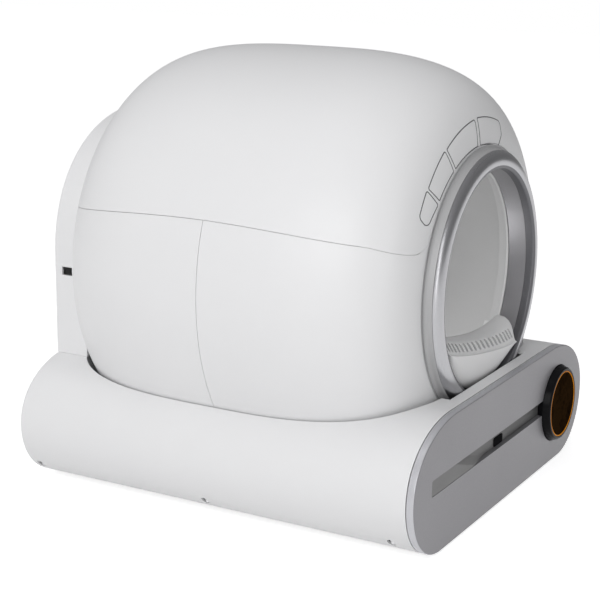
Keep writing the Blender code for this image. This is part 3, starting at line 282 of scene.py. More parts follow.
def mouldedGrainGroup():                # fine spark-eroded grain with a slow drift of tone and gloss
    group, start, end = makeGroup(
        "moulded grain",
        [("Color", colour, (0.8, 0.8, 0.8, 1)), ("Shade Color", colour, (0.7, 0.7, 0.7, 1)),
         ("Grain Scale", number, 900), ("Cloud Scale", number, 6), ("Cloud Amount", number, 0.3),
         ("Roughness", number, 0.4), ("Roughness Drift", number, 0.06)],
        [("Color", colour), ("Roughness", number), ("Height", number)])
    link = group.links.new
    place = addNode(group, "ShaderNodeTexCoord")
    grain = addNode(group, "ShaderNodeTexNoise", {"Detail": 3, "Roughness": 0.6})
    pits = addNode(group, "ShaderNodeTexVoronoi", feature="F1")
    cloud = addNode(group, "ShaderNodeTexNoise", {"Detail": 4, "Roughness": 0.55})
    for node, key in ((grain, "Grain Scale"), (pits, "Grain Scale"), (cloud, "Cloud Scale")):
        link(place.outputs["Object"], node.inputs["Vector"])
        link(start.outputs[key], node.inputs["Scale"])
    soft = addNode(group, "ShaderNodeMapRange", {"From Min": 0.35, "From Max": 0.7})
    link(cloud.outputs["Fac"], soft.inputs["Value"])
    amount = addNode(group, "ShaderNodeMath", operation="MULTIPLY")
    link(soft.outputs["Result"], amount.inputs[0])
    link(start.outputs["Cloud Amount"], amount.inputs[1])
    blendTones(group, start, end, amount.outputs[0], "Shade Color")
    driftRoughness(group, start, end, cloud.outputs["Fac"])
    height = addNode(group, "ShaderNodeMath", {1: 0.6}, operation="MULTIPLY_ADD")
    link(pits.outputs["Distance"], height.inputs[0])
    link(grain.outputs["Fac"], height.inputs[2])
    link(height.outputs[0], end.inputs["Height"])
    return group


def metalCoatGroup():                   # metallic paint: tiny flakes, and faint lines round or along
    group, start, end = makeGroup(
        "metal coat",
        [("Color", colour, (0.6, 0.6, 0.6, 1)), ("Flake Color", colour, (0.8, 0.8, 0.8, 1)),
         ("Flake Scale", number, 1600), ("Flake Amount", number, 0.3),
         ("Line Scale", number, 1), ("Line Amount", number, 0.1),
         ("Roughness", number, 0.35), ("Roughness Drift", number, 0.1)],
        [("Color", colour), ("Roughness", number), ("Height", number)])
    link = group.links.new
    place = addNode(group, "ShaderNodeTexCoord")
    flakes = addNode(group, "ShaderNodeTexVoronoi", feature="F1")
    link(place.outputs["Object"], flakes.inputs["Vector"])
    link(start.outputs["Flake Scale"], flakes.inputs["Scale"])
    pick = addNode(group, "ShaderNodeSeparateColor")
    link(flakes.outputs["Color"], pick.inputs["Color"])
    stretch = addNode(group, "ShaderNodeMapping")
    stretch.inputs["Scale"].default_value = (6, 700, 6)
    link(place.outputs["Object"], stretch.inputs["Vector"])
    lines = addNode(group, "ShaderNodeTexNoise", {"Detail": 2, "Roughness": 0.7})
    link(stretch.outputs["Vector"], lines.inputs["Vector"])
    link(start.outputs["Line Scale"], lines.inputs["Scale"])
    weigh = addNode(group, "ShaderNodeMath", operation="MULTIPLY")
    link(pick.outputs[0], weigh.inputs[0])
    link(start.outputs["Flake Amount"], weigh.inputs[1])
    streak = addNode(group, "ShaderNodeMath", operation="MULTIPLY_ADD")
    link(lines.outputs["Fac"], streak.inputs[0])
    link(start.outputs["Line Amount"], streak.inputs[1])
    link(weigh.outputs[0], streak.inputs[2])
    blendTones(group, start, end, streak.outputs[0], "Flake Color")
    driftRoughness(group, start, end, lines.outputs["Fac"])
    link(streak.outputs[0], end.inputs["Height"])
    return group


mouldedGrain = mouldedGrainGroup()
metalCoat = metalCoatGroup()


def startMaterial(name, **sockets):
    made = bpy.data.materials.new(name)
    made.use_nodes = True
    shader = made.node_tree.nodes["Principled BSDF"]
    for key, value in sockets.items():
        shader.inputs[key.replace("_", " ")].default_value = value
    return made, made.node_tree, shader


def surfaced(name, group, values, sockets, depth, rise):     # a material that wears one of the groups
    made, tree, shader = startMaterial(name, **sockets)
    surface = addNode(tree, "ShaderNodeGroup", values, node_tree=group)
    bump = addNode(tree, "ShaderNodeBump", {"Strength": depth, "Distance": rise})
    link = tree.links.new
    link(surface.outputs["Color"], shader.inputs["Base Color"])
    link(surface.outputs["Roughness"], shader.inputs["Roughness"])
    link(surface.outputs["Height"], bump.inputs["Height"])
    link(bump.outputs["Normal"], shader.inputs["Normal"])
    return made


def plastic(name, color, shade, grain=900, depth=0.02, clouds=6, cloudy=0.3, rough=0.4, drift=0.06,
            **sockets):
    values = {"Color": (*color, 1), "Shade Color": (*shade, 1), "Grain Scale": grain,
              "Cloud Scale": clouds, "Cloud Amount": cloudy, "Roughness": rough,
              "Roughness Drift": drift}
    return surfaced(name, mouldedGrain, values, sockets, depth, rise=0.0003)


def coated(name, color, flake, flakes=0.3, lines=0.1, rough=0.35, drift=0.1, depth=0.02,
           flakeScale=1600, **sockets):
    values = {"Color": (*color, 1), "Flake Color": (*flake, 1), "Flake Scale": flakeScale,
              "Flake Amount": flakes, "Line Amount": lines, "Roughness": rough,
              "Roughness Drift": drift}
    return surfaced(name, metalCoat, values, sockets, depth, rise=0.0002)


satinWhite = plastic("satin white shell", (0.80, 0.80, 0.805), (0.765, 0.765, 0.775), rough=0.42,
                     depth=0.03, Specular_IOR_Level=0.45)
sillWhite = plastic("sill white", (0.87, 0.87, 0.87), (0.82, 0.82, 0.82), rough=0.5, clouds=14)
# painted shade: a darker coat for the floors of the sill's slots
grooveShadePaint = plastic("shaded sill grooves", (0.55, 0.55, 0.555), (0.50, 0.50, 0.505), rough=0.6,
                     clouds=14)
drumGrey = plastic("pale grey drum", (0.72, 0.72, 0.72), (0.68, 0.68, 0.68), rough=0.55, grain=700,
                   depth=0.05, clouds=9)
framePlastic = plastic("dark inner plastic", (0.085, 0.085, 0.09), (0.06, 0.06, 0.065), rough=0.6,
                       grain=500, depth=0.1, clouds=20)
binPlastic = plastic("bin grey", (0.33, 0.34, 0.35), (0.28, 0.29, 0.30), rough=0.48, grain=600,
                     depth=0.06, clouds=12)
stripPlastic = plastic("warm grey strip", (0.185, 0.184, 0.184), (0.160, 0.159, 0.158), rough=0.5,
                       grain=1200, clouds=18)
nylon = plastic("natural nylon", (0.68, 0.66, 0.57), (0.60, 0.575, 0.48), rough=0.42, grain=300,
                depth=0.04, clouds=40, Subsurface_Weight=0.08)
softRubber = plastic("soft rubber", (0.022, 0.022, 0.022), (0.035, 0.034, 0.033), rough=0.85,
                     grain=400, depth=0.2, clouds=60, cloudy=0.6)
frameInk = plastic("grey printing ink", (0.09, 0.09, 0.095), (0.13, 0.13, 0.135), rough=0.6,
                   grain=1500, clouds=120)
pianoBlack = plastic("piano black", (0.006, 0.006, 0.007), (0.010, 0.010, 0.011), rough=0.22,
                     grain=200, depth=0.004, clouds=30, drift=0.05, Specular_IOR_Level=0.06)
windowBlack = plastic("black sensor window", (0.012, 0.012, 0.013), (0.018, 0.018, 0.019), rough=0.3,
                      grain=300, depth=0.004, clouds=60, Specular_IOR_Level=0.0)
silverRing = coated("silver ring coat", (0.40, 0.40, 0.415), (0.52, 0.52, 0.535), rough=0.29,
                    lines=0.2, flakes=0.25, Metallic=0.95)
# painted shade: a darker silver coat for the ring's inner lip
silverLipShade = coated("silver ring lip painted shade", (0.13, 0.13, 0.14), (0.20, 0.20, 0.21), rough=0.45,
                   lines=0.2, flakes=0.2, Metallic=0.7)
# grey coat on the collar: partly its own satin trim colour, partly painted shade of the hollow fillet
collarGreyAndShade = coated("satin grey collar and painted shade", (0.40, 0.40, 0.405), (0.47, 0.47, 0.475), rough=0.5,
                    lines=0.0, flakes=0.2, depth=0.01, Metallic=0.15)
silverSleeve = coated("silver sleeve coat", (0.31, 0.305, 0.32), (0.40, 0.395, 0.41), rough=0.38,
                      lines=0.3, flakes=0.1, drift=0.1, Metallic=0.6)
plateFace = coated("silver grey plate", (0.255, 0.25, 0.265), (0.33, 0.325, 0.34), rough=0.42,
                   lines=0.0, flakes=0.35, Metallic=0.35)
# painted highlight: a lighter coat for the plate's rim, where its edges catch the light
plateEdgeHighlight = coated("plate edge painted highlight", (0.50, 0.50, 0.525), (0.62, 0.62, 0.645), rough=0.38,
                   lines=0.0, flakes=0.3, Metallic=0.4)
turnedSteel = coated("turned steel", (0.50, 0.50, 0.51), (0.70, 0.70, 0.71), rough=0.32, lines=0.6,
                     flakes=0.05, drift=0.2, Metallic=1.0)
bronze = coated("sintered bronze", (0.42, 0.25, 0.10), (0.62, 0.40, 0.18), rough=0.45, lines=0.1,
                flakes=0.6, flakeScale=2600, Metallic=1.0)


def paintShadeAlong(made, start, end, share):     # painted shade: colour darkened from one place to another across the width
    tree = made.node_tree
    base = tree.nodes["Principled BSDF"].inputs["Base Color"]
    color = base.links[0].from_socket
    place = addNode(tree, "ShaderNodeTexCoord")
    parts = addNode(tree, "ShaderNodeSeparateXYZ")
    shadeRamp = addNode(tree, "ShaderNodeMapRange", {"From Min": start, "From Max": end,
                   "To Min": 1.0, "To Max": share}, interpolation_type="SMOOTHSTEP")
    scaled = addNode(tree, "ShaderNodeVectorMath", operation="SCALE")
    link = tree.links.new
    link(place.outputs["Object"], parts.inputs[0])
    link(parts.outputs["X"], shadeRamp.inputs["Value"])
    link(color, scaled.inputs[0])
    link(shadeRamp.outputs["Result"], scaled.inputs["Scale"])
    link(scaled.outputs["Vector"], base)


# painted shade: the grip strip's colour darkens towards the disc, where its recess lies deeper in shade
stripPaintedShade = {"start": -0.14, "end": 0.085, "share": 0.42}
paintShadeAlong(stripPlastic, **stripPaintedShade)


def boardMaterial():                    # coated circuit board with traces and pads
    made, tree, shader = startMaterial("green board", Roughness=0.35)
    place = addNode(tree, "ShaderNodeTexCoord")
    traces = addNode(tree, "ShaderNodeTexBrick", {"Scale": 160.0, "Mortar Size": 0.06,
                     "Color1": (0.012, 0.11, 0.045, 1), "Color2": (0.016, 0.14, 0.055, 1),
                     "Mortar": (0.06, 0.26, 0.12, 1)})
    pads = addNode(tree, "ShaderNodeTexVoronoi", {"Scale": 300.0, "Randomness": 0.4})
    mask = addNode(tree, "ShaderNodeMath", {1: 0.16}, operation="LESS_THAN")
    mix = addNode(tree, "ShaderNodeMix", data_type="RGBA")
    mix.inputs[7].default_value = (0.62, 0.60, 0.52, 1)
    link = tree.links.new
    link(place.outputs["Object"], traces.inputs["Vector"])
    link(place.outputs["Object"], pads.inputs["Vector"])
    link(pads.outputs["Distance"], mask.inputs[0])
    link(mask.outputs[0], mix.inputs["Factor"])
    link(traces.outputs["Color"], mix.inputs[6])
    link(mix.outputs[2], shader.inputs["Base Color"])
    return made


def setRamp(ramp, *stops):
    for element, (position, color) in zip(ramp.color_ramp.elements, stops):
        element.position = position
        element.color = (*color, 1)


def glowMaterial():                     # amber light guide, a little uneven where its lamps sit
    made, tree, shader = startMaterial("amber light guide", Roughness=0.45, Emission_Strength=0.4,
                                       Specular_IOR_Level=0.05)
    place = addNode(tree, "ShaderNodeTexCoord")
    lamps = addNode(tree, "ShaderNodeTexNoise", {"Scale": 30.0, "Detail": 2.0})
    ramp = addNode(tree, "ShaderNodeValToRGB")
    setRamp(ramp, (0.3, (0.40, 0.125, 0.004)), (0.7, (0.58, 0.22, 0.010)))
    link = tree.links.new
    link(place.outputs["Object"], lamps.inputs["Vector"])
    link(lamps.outputs["Fac"], ramp.inputs["Fac"])
    link(ramp.outputs["Color"], shader.inputs["Base Color"])
    link(ramp.outputs["Color"], shader.inputs["Emission Color"])
    return made


def lensMaterial():                     # dark smoked glass with a warm depth to it
    made, tree, shader = startMaterial("smoked display glass", Roughness=0.3,
                                       Specular_IOR_Level=0.0)
    place = addNode(tree, "ShaderNodeTexCoord")
    cells = addNode(tree, "ShaderNodeTexVoronoi", {"Scale": 220.0}, feature="SMOOTH_F1")
    smoke = addNode(tree, "ShaderNodeTexNoise", {"Scale": 28.0, "Detail": 3.0})
    ramp = addNode(tree, "ShaderNodeValToRGB")
    setRamp(ramp, (0.38, (0.006, 0.0035, 0.002)), (0.72, (0.026, 0.013, 0.005)))
    mix = addNode(tree, "ShaderNodeMath", {1: 0.35}, operation="MULTIPLY_ADD")
    link = tree.links.new
    link(place.outputs["Object"], cells.inputs["Vector"])
    link(place.outputs["Object"], smoke.inputs["Vector"])
    link(cells.outputs["Distance"], mix.inputs[0])
    link(smoke.outputs["Fac"], mix.inputs[2])
    link(mix.outputs[0], ramp.inputs["Fac"])
    link(ramp.outputs["Color"], shader.inputs["Base Color"])
    return made


boardGreen = boardMaterial()
amberGlow = glowMaterial()
smokedGlass = lensMaterial()
print("materials made")


# the outline of the base, seen from the front

base = {
    "width": 0.540, "top": 0.1629, "belt": 0.0805, "shoulderRun": 0.1161, "heelRun": 0.0784,
    "shoulderPower": 2.13, "heelPower": 2.01, "sole": 0.003, "wall": 0.003, "cornerSteps": 30,
    "rearRound": 0.0035, "wellGap": 0.0016, "wellEndGap": 0.0090, "skirt": 0.002,
    "deckHeight": 0.106, "deckTop": 0.1103, "recessRadius": 0.1690, "recessFront": -0.2463,
    "skirtSetback": 0.012, "soleInset": 0.028, "soleMargin": 0.024, "soleDepth": 0.016,
    "screwHeight": 0.025, "screwBore": 0.005, "screwDimple": 0.004, "screwInset": 0.0033,
    "firstScrew": 0.0274, "lastScrew": 0.0137, "inletX": 0.174, "inletHeight": 0.060,
    "inletBore": 0.0083, "inletDepth": 0.016, "allAround": 0.3,
}


def baseOutline(inset, y):
    sole, top, belt = base["sole"] + inset, base["top"] - inset, base["belt"]
    half = base["width"] / 2
    right = []
    for across, down in shares(base["heelPower"], base["cornerSteps"]):
        right.append(Vector((half - base["heelRun"] + across * (base["heelRun"] - inset), y,
                             belt - down * (belt - sole))))
    for up, across in shares(base["shoulderPower"], base["cornerSteps"])[1:]:
        right.append(Vector((half - base["shoulderRun"] + across * (base["shoulderRun"] - inset), y,
                             belt + up * (top - belt))))
    return right + [Vector((-p.x, p.y, p.z)) for p in reversed(right)]


# the barrel's own profile, used by the covers, the well and the tower

housing = {
    "radius": 0.273, "centreY": -0.001, "frontLength": 0.229, "rearLength": 0.250, "wall": 0.004,
    "barrelPower": 6.5, "frontPower": 2.7, "rearPower": 3.57, "holeRadius": 0.152,
    "profileSteps": 30, "turns": 144, "gap": 0.0006, "bearingHole": 0.0225, "pinionHole": 0.010,
    "pinionX": 0.144, "drillStart": 0.1, "drillEnd": 0.26,
}


def housingProfile(grow, firstRadius, endGrow=0.0):
    radius = housing["radius"] + grow
    opening = acos(min(firstRadius / radius, 1) ** (housing["barrelPower"] / 2))
    count = housing["profileSteps"]
    points = []
    for step in range(count + 1):
        angle = opening * (1 - step / count)
        along = sin(angle) ** (2 / housing["frontPower"]) * (housing["frontLength"] + grow + endGrow)
        points.append((housing["centreY"] - along, radius * cos(angle) ** (2 / housing["barrelPower"])))
    for step in range(1, count + 1):
        angle = pi / 2 * step / count
        along = sin(angle) ** (2 / housing["rearPower"]) * (housing["rearLength"] + grow + endGrow)
        points.append((housing["centreY"] + along,
                       radius * max(cos(angle), 0) ** (2 / housing["barrelPower"])))
    points[-1] = (points[-1][0], 0)
    return points


def fromAxis(points):                   # (y, radius) to a point above the drum's axis
    return [Vector((0, y, axisHeight + out)) for y, out in points]


def housingBlock(name, grow, endGrow):
    profile = housingProfile(grow, 0, endGrow)
    profile[0] = (profile[0][0], 0)
    return spinLine(name, fromAxis(profile), housing["turns"], closed=False)


def housingShell(name):
    line = housingProfile(-housing["wall"], housing["holeRadius"])[::-1]
    line += housingProfile(0, housing["holeRadius"])
    return spinLine(name, fromAxis(line), housing["turns"], closed=False)


seam = {
    "height": 0.3748, "fall": 0.01875, "reach": 0.240, "crown": 0.2987, "knee": 0.0877,
    "dip": 0.0096, "dipPower": 1.2, "front": 0.0462, "turnDepth": 0.0042, "turnHeight": 0.012,
    "split": 0.2845, "landRadius": 0.1680, "landStart": -0.2261, "landDepth": 0.0104,
    "frontEnd": -0.245, "rearEnd": 0.262, "above": 0.58, "beside": 0.29, "steps": 44,
    "turnSteps": 6, "rearSteps": 24,
}


def seamHeight(y):
    knee, front, crown = (frontY + seam[key] for key in ("knee", "front", "crown"))
    dip = max(0, (knee - y) / (knee - front)) ** seam["dipPower"] * seam["dip"]
    return seam["height"] - seam["fall"] * ((y - crown) / seam["reach"]) ** 2 - dip


def seamLine(offset, startY):           # from the back to the ring, with the small turn at its end
    turnY = frontY + seam["front"] + seam["turnDepth"]
    points = []
    for step in range(seam["steps"] + 1):
        y = startY + (turnY - startY) * step / seam["steps"]
        points.append((y, seamHeight(y) + offset))
    low = points[-1][1]
    for step in range(1, seam["turnSteps"] + 1):
        angle = pi / 2 * step / seam["turnSteps"]
        points.append((turnY - seam["turnDepth"] * sin(angle),
                       low + seam["turnHeight"] * (1 - cos(angle))))
    points.append((seam["frontEnd"], points[-1][1]))
    return points


def sideSlab(name, outline):            # (y, z) outline pushed through from side to side
    points = [Vector((-seam["beside"], y, z)) for y, z in outline]
    return pushShape(name, points, (2 * seam["beside"], 0, 0))


def landRod(grow):                      # the flat round the ring, which stays on the lower shell
    start, radius = seam["frontEnd"], seam["landRadius"] + grow
    end = seam["landStart"] + seam["landDepth"]
    line = [(start, 0), (start, radius), (end, radius), (end, 0)]
    return spinLine("land", fromAxis(line), housing["turns"], closed=False)


def makeHousing():
    half = housing["gap"] / 2
    frontEnd, rearEnd, above = seam["frontEnd"], seam["rearEnd"], seam["above"]
    upper = seamLine(half, rearEnd)
    topCover = housingShell("coverShell")
    carve(topCover, sideSlab("coverSlab", upper + [(frontEnd, above), (rearEnd, above)]),
          how="INTERSECT")
    carve(topCover, landRod(housing["gap"]))
    finishPiece(topCover, "cover", "shell_white", satinWhite, standsFor=("top_cover",))

    splitY = frontY + seam["split"]
    floorZ = base["deckTop"]
    lowerFront = housingShell("lowerFrontShell")
    line = [(splitY - half, floorZ)] + seamLine(-half, splitY - half) + [(frontEnd, floorZ)]
    slab = carve(sideSlab("frontSlab", line), landRod(0), how="UNION")
    carve(lowerFront, slab, how="INTERSECT")
    finishPiece(lowerFront, "base", "shell_white", satinWhite, standsFor=("lower_front_shell",))

    lowerRear = housingShell("lowerRearShell")
    count = seam["rearSteps"]
    places = [splitY + half + (rearEnd - splitY - half) * step / count for step in range(count + 1)]
    line = [(y, seamHeight(y) - half) for y in reversed(places)]
    line += [(splitY + half, floorZ), (rearEnd, floorZ)]
    carve(lowerRear, sideSlab("rearSlab", line), how="INTERSECT")
    start, end = housing["drillStart"], housing["drillEnd"]
    carve(lowerRear, drill("bearingHole", axisPoint, housing["bearingHole"], start, end),
          drill("pinionHole", (housing["pinionX"], 0, axisHeight), housing["pinionHole"], start, end))
    finishPiece(lowerRear, "base", "shell_white", satinWhite, standsFor=("lower_rear_shell",))


makeHousing()
print("housing made")


# four empty frames in a row round the top of the entrance
# each corner: degrees from the top, distance from the axis and rounding in millimetres

frames = {
    "width": 0.0012, "lift": 0.00012, "depth": 0.0003, "step": 0.006, "leastRound": 0.0004,
    "roundSteps": 6, "bowedBelow": 0.25,
    "shapes": (
        (((-57.8, 196.4), 7), ((-59.7, 177.6), 9), ((-48.0, 170.3), 3), ((-47.5, 197.8), 3)),
        (((-46.9, 196.9), 3), ((-46.5, 170.8), 2), ((-30.3, 170.3), 3), ((-29.6, 199.3), 3)),
        (((-28.7, 198.3), 3), ((-28.8, 169.9), 2), ((-6.1, 168.7), 2), ((-3.5, 201.1), 3)),
        (((-1.7, 201.3), 3), ((-4.1, 168.6), 3), ((15.4, 165.2), 4), ((19.6, 182.4), 9),
         ((18.8, 200.4), 6)),
    ),
}


def barrelY(radius):                    # where the front of the barrel lies at a distance from the axis
    rise = 1 - (radius / housing["radius"]) ** housing["barrelPower"]
    return housing["centreY"] - housing["frontLength"] * rise ** (1 / housing["frontPower"])


def frameSpot(angle, radius):
    return Vector((radius * sin(radians(angle)), radius * cos(radians(angle)))) / 1000


def frameLine(corners, inset):          # rounded outline in the front plane, its long sides bowed
    count, turns = len(corners), frames["roundSteps"]
    points = []
    for index in range(count):
        place, fillet = corners[index]
        here = frameSpot(*place)
        sides = [(frameSpot(*other[0]) - here).normalized()
                 for other in (corners[index - 1], corners[(index + 1) % count])]
        half = sides[0].angle(sides[1]) / 2
        middle = (sides[0] + sides[1]).normalized()
        corner = here + middle * (inset / sin(half))
        size = max(fillet / 1000 - inset, frames["leastRound"])
        centre = corner + middle * (size / sin(half))
        starts = [corner + side * (size / sin(half) * cos(half)) for side in sides]
        turn = (starts[0] - centre).angle_signed(starts[1] - centre)
        first = starts[0] - centre
        for step in range(turns + 1):
            angle = -turn * step / turns
            points.append(centre + Vector((first.x * cos(angle) - first.y * sin(angle),
                                           first.x * sin(angle) + first.y * cos(angle))))
    full = []
    for here, there in zip(points, points[1:] + points[:1]):
        pieces = max(1, round((there - here).length / frames["step"]))
        bothRadii = here.length, there.length
        for step in range(pieces):
            part = step / pieces
            spot = here.lerp(there, part)
            if abs(bothRadii[0] - bothRadii[1]) < frames["bowedBelow"] * (there - here).length:
                spot = spot.normalized() * (bothRadii[0] + (bothRadii[1] - bothRadii[0]) * part)
            full.append(spot)
    return [Vector((spot.x, barrelY(spot.length) - frames["lift"], axisHeight + spot.y))
            for spot in full]


def makeFrames():
    for index, corners in enumerate(frames["shapes"]):
        outer = frameLine(corners, 0)
        line = drawLine("labelFrame" + str(index), outer + outer[:1])
        leaveEdit()
        inner = frameLine(corners, frames["width"])
        hole = drawLine("labelInner", inner + inner[:1])
        leaveEdit()
        for loop in (line, hole):
            editAll(loop)
            bpy.ops.mesh.remove_doubles(threshold=0.00002)
            leaveEdit()
        useOnly(line, hole)
        bpy.ops.object.join()
        editAll(line)
        bpy.ops.mesh.bridge_edge_loops()
        bpy.ops.mesh.extrude_region_move(TRANSFORM_OT_translate={"value": (0, frames["depth"], 0)})
        cleanUp()
        finishPiece(line, "cover", "frame_plastic", frameInk)


makeFrames()
print("frames made")


def wellBlock(grow, endExtra, floorZ):  # the barrel's shape grown all round, above a level
    made = housingBlock("well", grow, base["wellEndGap"] + endExtra - grow)
    editAll(made)
    bpy.ops.mesh.bisect(plane_co=(0, 0, floorZ), plane_no=(0, 0, 1), use_fill=True, clear_inner=True)
    cleanUp()
    return made


def makeBase():
    flat = base["width"] / 2 - base["heelRun"]
    body = pushShape("baseBody", baseOutline(0, shellFrontY), (0, rearY - shellFrontY, 0))
    roundEdges(body, edgesAt(rearY), base["rearRound"], 4)
    hollow = pushShape("baseHollow", baseOutline(base["wall"], shellFrontY - overrun),
                       (0, rearY - base["wall"] - shellFrontY + overrun, 0))
    skirt = wellBlock(base["wellGap"] + base["skirt"], base["skirt"], base["deckTop"])
    reach = base["allAround"]
    carve(skirt, block("skirtFront", (-reach, -reach, 0),
                       (reach, base["recessFront"] + base["skirtSetback"], 2 * reach)))
    carve(hollow, skirt)
    well = wellBlock(base["wellGap"], 0, base["deckHeight"])
    recess = drill("recess", axisPoint, base["recessRadius"], base["recessFront"], 0, sides=144)
    soleHalf, margin = flat - base["soleInset"], base["soleMargin"]
    soleCut = block("soleCut", (-soleHalf, shellFrontY + margin, -overrun),
                    (soleHalf, rearY - margin, base["soleDepth"]))
    carve(body, hollow, well, recess, soleCut)
    near = sideX(base["screwHeight"], base["screwInset"]) - base["screwDimple"]
    far = base["width"] / 2
    for place in screwPlaces():
        spot = (0, place, base["screwHeight"])
        carve(body, drill("screwBore", spot, base["screwBore"], -far, -near, "X", 32),
              drill("screwBore", spot, base["screwBore"], near, far, "X", 32))
    carve(body, drill("inletBore", (base["inletX"], 0, base["inletHeight"]), base["inletBore"],
                      rearY - base["inletDepth"], rearY + overrun, sides=32))
    finishPiece(body, "base", "shell_white", satinWhite, standsFor=("base_shell",))


def sideX(height, inset):               # half width of the base at a height below its belt
    share = (base["belt"] - height) / (base["belt"] - base["sole"] - inset)
    reach = (1 - min(share, 1) ** base["heelPower"]) ** (1 / base["heelPower"])
    return base["width"] / 2 - base["heelRun"] + (base["heelRun"] - inset) * reach


def screwPlaces():
    first, last = shellFrontY + base["firstScrew"], rearY - base["lastScrew"]
    return (first, (first + last) / 2, last)


makeBase()
print("base made")


# entrance ring and its sleeve

ring = {
    "inner": 0.1384, "crease": 0.1610, "creaseSetback": 0.0345, "noseRadius": 0.01918,
    "noseStart": 50, "noseEnd": -17, "noseSteps": 20, "lipSteps": 6, "lipLength": 0.0024,
    "foot": 0.1668, "top": 0.1618, "fillet": 0.0050, "turns": 192, "sleeveWall": 0.003,
    "creaseRound": 0.0004, "lipShadeRadius": 0.1425, "filletSteps": 12, "ease": 0.0002,
    "sleeveLip": 0.001, "sleeveEase": 0.3,
}


def ringSection():                      # a round nose from the crease, a tight lip, and a skirt inside
    creaseY = frontY + ring["creaseSetback"]
    size, first, last = ring["noseRadius"], radians(ring["noseStart"]), radians(ring["noseEnd"])
    seat = ring["inner"] + ring["sleeveWall"] + seatGap
    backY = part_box("entrance_sleeve")[0].y - seatGap
    line = [(creaseY, ring["crease"] - ring["creaseRound"])]
    for step in range(ring["noseSteps"] + 1):
        tilt = first + (last - first) * step / ring["noseSteps"]
        line.append((creaseY - ring["creaseRound"] * 0.5 - size * (cos(tilt) - cos(first)),
                     ring["crease"] - size * (sin(first) - sin(tilt))))
    startY, startOut = line[-1]
    bendY = startY + (startOut - ring["inner"]) * -sin(last) / cos(last)
    endY = bendY + ring["lipLength"]
    for step in range(1, ring["lipSteps"] + 1):
        part = step / ring["lipSteps"]
        a, b, c = (1 - part) ** 2, 2 * part * (1 - part), part ** 2
        line.append((a * startY + b * bendY + c * endY,
                     a * startOut + b * ring["inner"] + c * ring["inner"]))
    return line + [(backY, ring["inner"]), (backY, seat), (creaseY, seat)]


def collarSection():                    # hollow fillet up from the housing, then a steep flank
    creaseY = frontY + ring["creaseSetback"] + seatGap
    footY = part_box("entrance_collar")[1].y
    seat = ring["inner"] + ring["sleeveWall"] + 2 * seatGap
    rise = ring["foot"] - ring["top"]
    line = [(creaseY, seat), (footY, seat)]
    for step in range(ring["filletSteps"] + 1):
        angle = pi / 2 * step / ring["filletSteps"]
        line.append((footY - ring["fillet"] * (1 - cos(angle)), ring["foot"] - rise * sin(angle)))
    crease, ease = ring["crease"], ring["ease"]
    return line + [(creaseY + 4 * ease, crease + ease), (creaseY + ease, crease),
                   (creaseY, crease - ring["creaseRound"])]


def makeEntrance():
    band = spinLine("entranceRing", fromAxis(ringSection()), ring["turns"])
    finishPiece(band, "base", "ring_metal", silverRing, silverLipShade, standsFor=("entrance_ring",),
                sharp=50)
    # faces close to the inner lip get the darker coat: painted shade
    paintFaces(band, 1, lambda place, normal:
               Vector((place.x, place.z - axisHeight)).length < ring["lipShadeRadius"])
    collar = spinLine("entranceCollar", fromAxis(collarSection()), ring["turns"])
    finishPiece(collar, "base", "ring_metal", collarGreyAndShade, standsFor=("entrance_collar",), sharp=50)

    low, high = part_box("entrance_sleeve")
    inner = ring["inner"] + seatGap
    outer = inner + ring["sleeveWall"]
    lip = ring["sleeveLip"]
    ease = lip * ring["sleeveEase"]
    line = [(low.y, inner + lip / 2), (low.y + lip / 2, inner), (high.y - lip, inner),
            (high.y - ease, inner + ease), (high.y, inner + lip), (high.y, outer), (low.y, outer)]
    sleeve = spinLine("entranceSleeve", fromAxis(line), ring["turns"])
    finishPiece(sleeve, "base", "ring_metal", silverSleeve, standsFor=("entrance_sleeve",), sharp=50)


makeEntrance()
print("entrance made")


# waste drawer: plate, strip, window

drawer = {
    "thickness": 0.009, "edgeRound": 0.0018, "stripHeight": 0.0885, "stripWidth": 0.0200,
    "stripLeft": -0.222, "stripDepth": 0.0078, "stripFloor": 0.0012, "foldShare": 0.167,
    "rampShare": 0.09, "slant": 0.057, "cornerRound": 0.003, "discX": 0.174, "discZ": 0.083,
    "discHole": 0.0522, "stripEnd": 0.0514, "discSides": 128, "behind": 0.03, "rampRound": 0.0012,
    "longEdge": 0.04, "edgeFacing": 0.6, "edgeX": 0.19, "edgeTop": 0.155, "edgeLow": 0.01,
    "windowCorner": 0.0016, "windowEdge": 0.0003,
}


